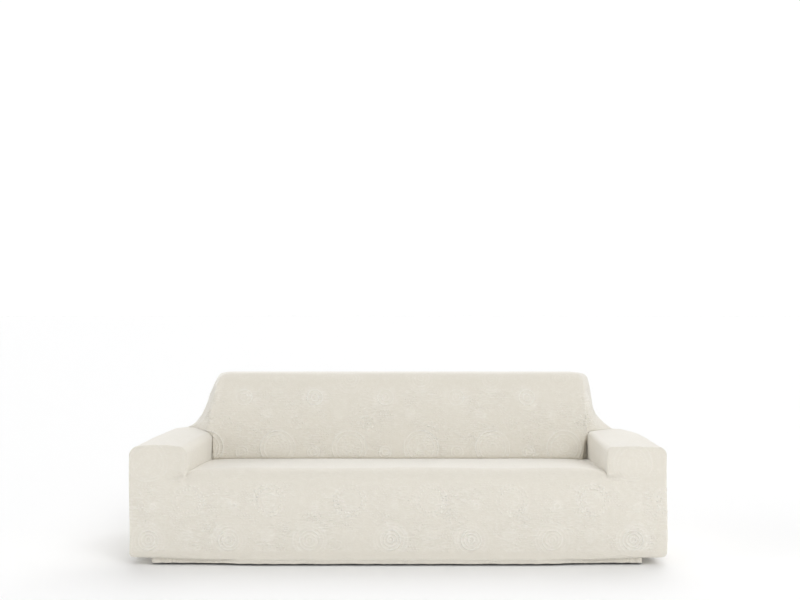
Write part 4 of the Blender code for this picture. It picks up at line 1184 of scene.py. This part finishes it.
# The backrest is one grid. Its columns stand on the left crease, behind the seat and on the right
# crease, and a wing's outermost columns close to a point on the crease's end.
middle_shares, middle_at = finer(SEAT_COLUMNS, np.diff(SEAT_COLUMNS) * SEAT_WIDTH, BACKREST_PITCH)
feet, tucks, knees, rears, headings, lips = {}, {}, {}, {}, {}, {}
for side in SIDES:
    line = creases[side.name]
    run = np.concatenate([[0.0], np.cumsum(np.linalg.norm(np.diff(line, axis=0), axis=1))])
    share = run / run[-1]
    knees[side.name], rears[side.name] = wing_line(side, share)
    upright = np.clip(1.0 - (line[:, 0] - side.inner_back) / side.corner, 0.0, 1.0)[:, None]
    level = np.sqrt(1.0 - upright**2)  # sine of the arm's slope under the foot, and its cosine
    feet[side.name] = line + (1.0 - level) * BUTT * BACKWARDS + level * BUTT * OFF_ARM
    inside_arm = TUCK * (upright * OUTWARDS - level * UPWARDS)
    tucks[side.name] = feet[side.name] + TUCK_BACK * BACKWARDS + inside_arm
    point_from = share[crease_at[side.name][-2]]
    closing = np.clip((share - point_from) / (1.0 - point_from), 0.0, 1.0)[:, None]
    knees[side.name] += (feet[side.name] - knees[side.name]) * closing
    rears[side.name] += (feet[side.name] - rears[side.name]) * closing
    rears[side.name][:, 1] = REAR_EDGE
    headings[side.name] = wing_direction(side, share)
    lips[side.name] = -(1.0 - level) * BACKWARDS - level * OFF_ARM
seat_rear = seat(middle_shares, np.full(len(middle_shares), 3.0)) + BUTT * BACKWARDS
seat_tuck = seat_rear + TUCK_BACK * BACKWARDS - TUCK * UPWARDS
foot_points = joined_up(feet, seat_rear)
knee_points = joined_up(knees, between_wings(knees, middle_shares))
rear_line_points = joined_up(rears, between_wings(rears, middle_shares))
tucked = joined_up(tucks, seat_tuck)
# Past the rear edge the cloth runs square to that edge, and straight down at the wings' ends.
straight = np.array([OUTWARDS] * len(middle_shares))
tangent = np.concatenate([-signed(LEFT, headings["left"])[::-1], straight,
                          signed(RIGHT, headings["right"])])
inward = np.stack([tangent[:, 2], np.zeros(len(tangent)), -tangent[:, 0]], axis=1)
inward[[0, -1]] = (0.0, 0.0, -1.0)
inward /= np.linalg.norm(inward, axis=1, keepdims=True)

LEAN = 0.33  # how far back the front leans for each metre up
FRONT_LENGTH = 0.385  # length of cloth up the front
TURN_LENGTH = 0.075  # round the turn
TOP_LENGTH = 0.090  # and back over the top
BACK_START = 0.297  # the pattern's place behind the seat
BACK_ACROSS = 0.112  # where a large ring has its middle
FOOT_FADE = (0.0, 0.04)  # share of the front over which the knit sets in above the crevice
TOP_FADE = (0.69, 0.75)  # heights over which it fades where it is pulled over the top
OVER_SHOWN = 0.30  # and the share of it that shows there

FRONT_STEPS = np.array([0.0, 0.02, 0.05, 0.12, 0.28, 0.5, 0.75, 1.0, 1.33, 1.67, 2.0, 2.5, 3.0])
step_lengths = np.where(FRONT_STEPS[1:] <= 1.0, FRONT_LENGTH,
                        np.where(FRONT_STEPS[1:] <= 2.0, TURN_LENGTH, TOP_LENGTH))
steps, step_at = finer(FRONT_STEPS, np.diff(FRONT_STEPS) * step_lengths, BACKREST_PITCH)
tuck_share = np.array([0.0, 0.33, 0.67])[:, None, None]
tuck_rows = tucked + (foot_points - tucked) * tuck_share
outwards = joined_up(lips, np.array([-BACKWARDS] * len(middle_shares)))
front_rows = backrest(foot_points, knee_points, rear_line_points, outwards, steps)
back_points = np.concatenate([tuck_rows, front_rows, over_back(rear_ways[1:])])
back_rows_at = np.concatenate([[0], step_at + len(tuck_share),
                               rear_at[1:] + len(tuck_share) + len(steps) - 1])
left_count, middle_count = len(feet["left"]), len(middle_shares)
back_columns_at = np.concatenate([
    left_count - 1 - crease_at["left"][::-1], middle_at + left_count,
    crease_at["right"] + left_count + middle_count,
])
x, y, z = back_points[..., 0], back_points[..., 1], back_points[..., 2]
up_front = (z - SEAT_REAR) * math.hypot(1.0, LEAN)
over_top = np.maximum(y - SEAT_BACK - LEAN * (BACK_TOP - SEAT_REAR), 0.0)
tucked_rows = len(tuck_share)
foot_fade = np.concatenate([np.zeros(tucked_rows), step(steps, *FOOT_FADE), np.ones(len(rear_ways) - 1)])
top_fade = 1.0 - (1.0 - OVER_SHOWN) * step(z, *TOP_FADE)
backrest_cloth = cut_panel("backrest", [
    Grid(back_points, placed(x - BACK_ACROSS, BACK_START + up_front + over_top,
                             foot_fade[:, None] * top_fade),
         back_rows_at, back_columns_at, ("lower", "upper", "first", "last"), False),
])

# ------------------------------------------------------------------ back
# A flat piece inside the turned edges of the others, from the hem to the top of the backrest,
# which closes the cover behind.

PLATE_PITCH = 0.0062  # distance between the lines of the back's grid
NEAR_ENDS = np.array([0.0, 0.0015, 0.006, 0.015, 0.030, 0.050, 0.080])  # its lines at both ends
UPRIGHT = 0.0002  # how far out of line an end's points may stand and still be part of it

# Its outline is the seam of the other panels on the back. Between its two upright ends the upper
# part gives the back's height by its place across.
outline = np.concatenate([
    signed(LEFT, rear_outline["left"]),
    over_back(np.array([REAR_END + REAR_SEAM]))[0, 1:-1],
    signed(RIGHT, rear_outline["right"])[::-1],
])
left_upright = outline[:, 0] < outline[0, 0] + UPRIGHT
right_upright = outline[:, 0] > outline[-1, 0] - UPRIGHT
left_top, right_top = np.nonzero(left_upright)[0][-1], np.nonzero(right_upright)[0][0]
ridge = outline[left_top : right_top + 1]
coarse_x = np.unique(np.concatenate([
    outline[0, 0] + NEAR_ENDS, np.linspace(-1.02, 1.02, 35), outline[-1, 0] - NEAR_ENDS,
]))
plate_x, plate_at = finer(coarse_x, np.diff(coarse_x), PLATE_PITCH)
order = np.argsort(ridge[:, 0], kind="stable")
plate_top = np.interp(plate_x, ridge[order, 0], ridge[order, 2])
up_shares, up_at = finer(np.linspace(0.0, 1.0, 6), np.full(5, 0.14), PLATE_PITCH)
foot_height = outline[0, 2]
plate_z = foot_height + (plate_top - foot_height) * up_shares[:, None]
plate = np.stack(np.broadcast_arrays(plate_x, DEPTH, plate_z), axis=-1)
wall = np.abs(plate[0])
hems = [with_hem(side, wall) for side in SIDES]
hem = np.where((plate_x < 0)[None, :, None], hems[0], hems[1])
hem[..., 0] *= np.where(plate_x < 0, -1.0, 1.0)
hem_t = np.broadcast_to(HEM_WAY[:, None], (hem_count, len(plate_x)))
plate_t = np.concatenate([hem_t, plate_z - WALL_FOOT])
fade = np.concatenate([np.zeros(hem_count), np.ones(len(up_shares))])[:, None]
back_cloth = cut_panel("back_rear", [
    Grid(np.concatenate([hem, plate]), placed(plate_x[None, :], plate_t, fade),
         np.concatenate([HEM_AT[:-1], up_at + hem_count]), plate_at,
         ("lower", "upper", "first", "last"), True),
])
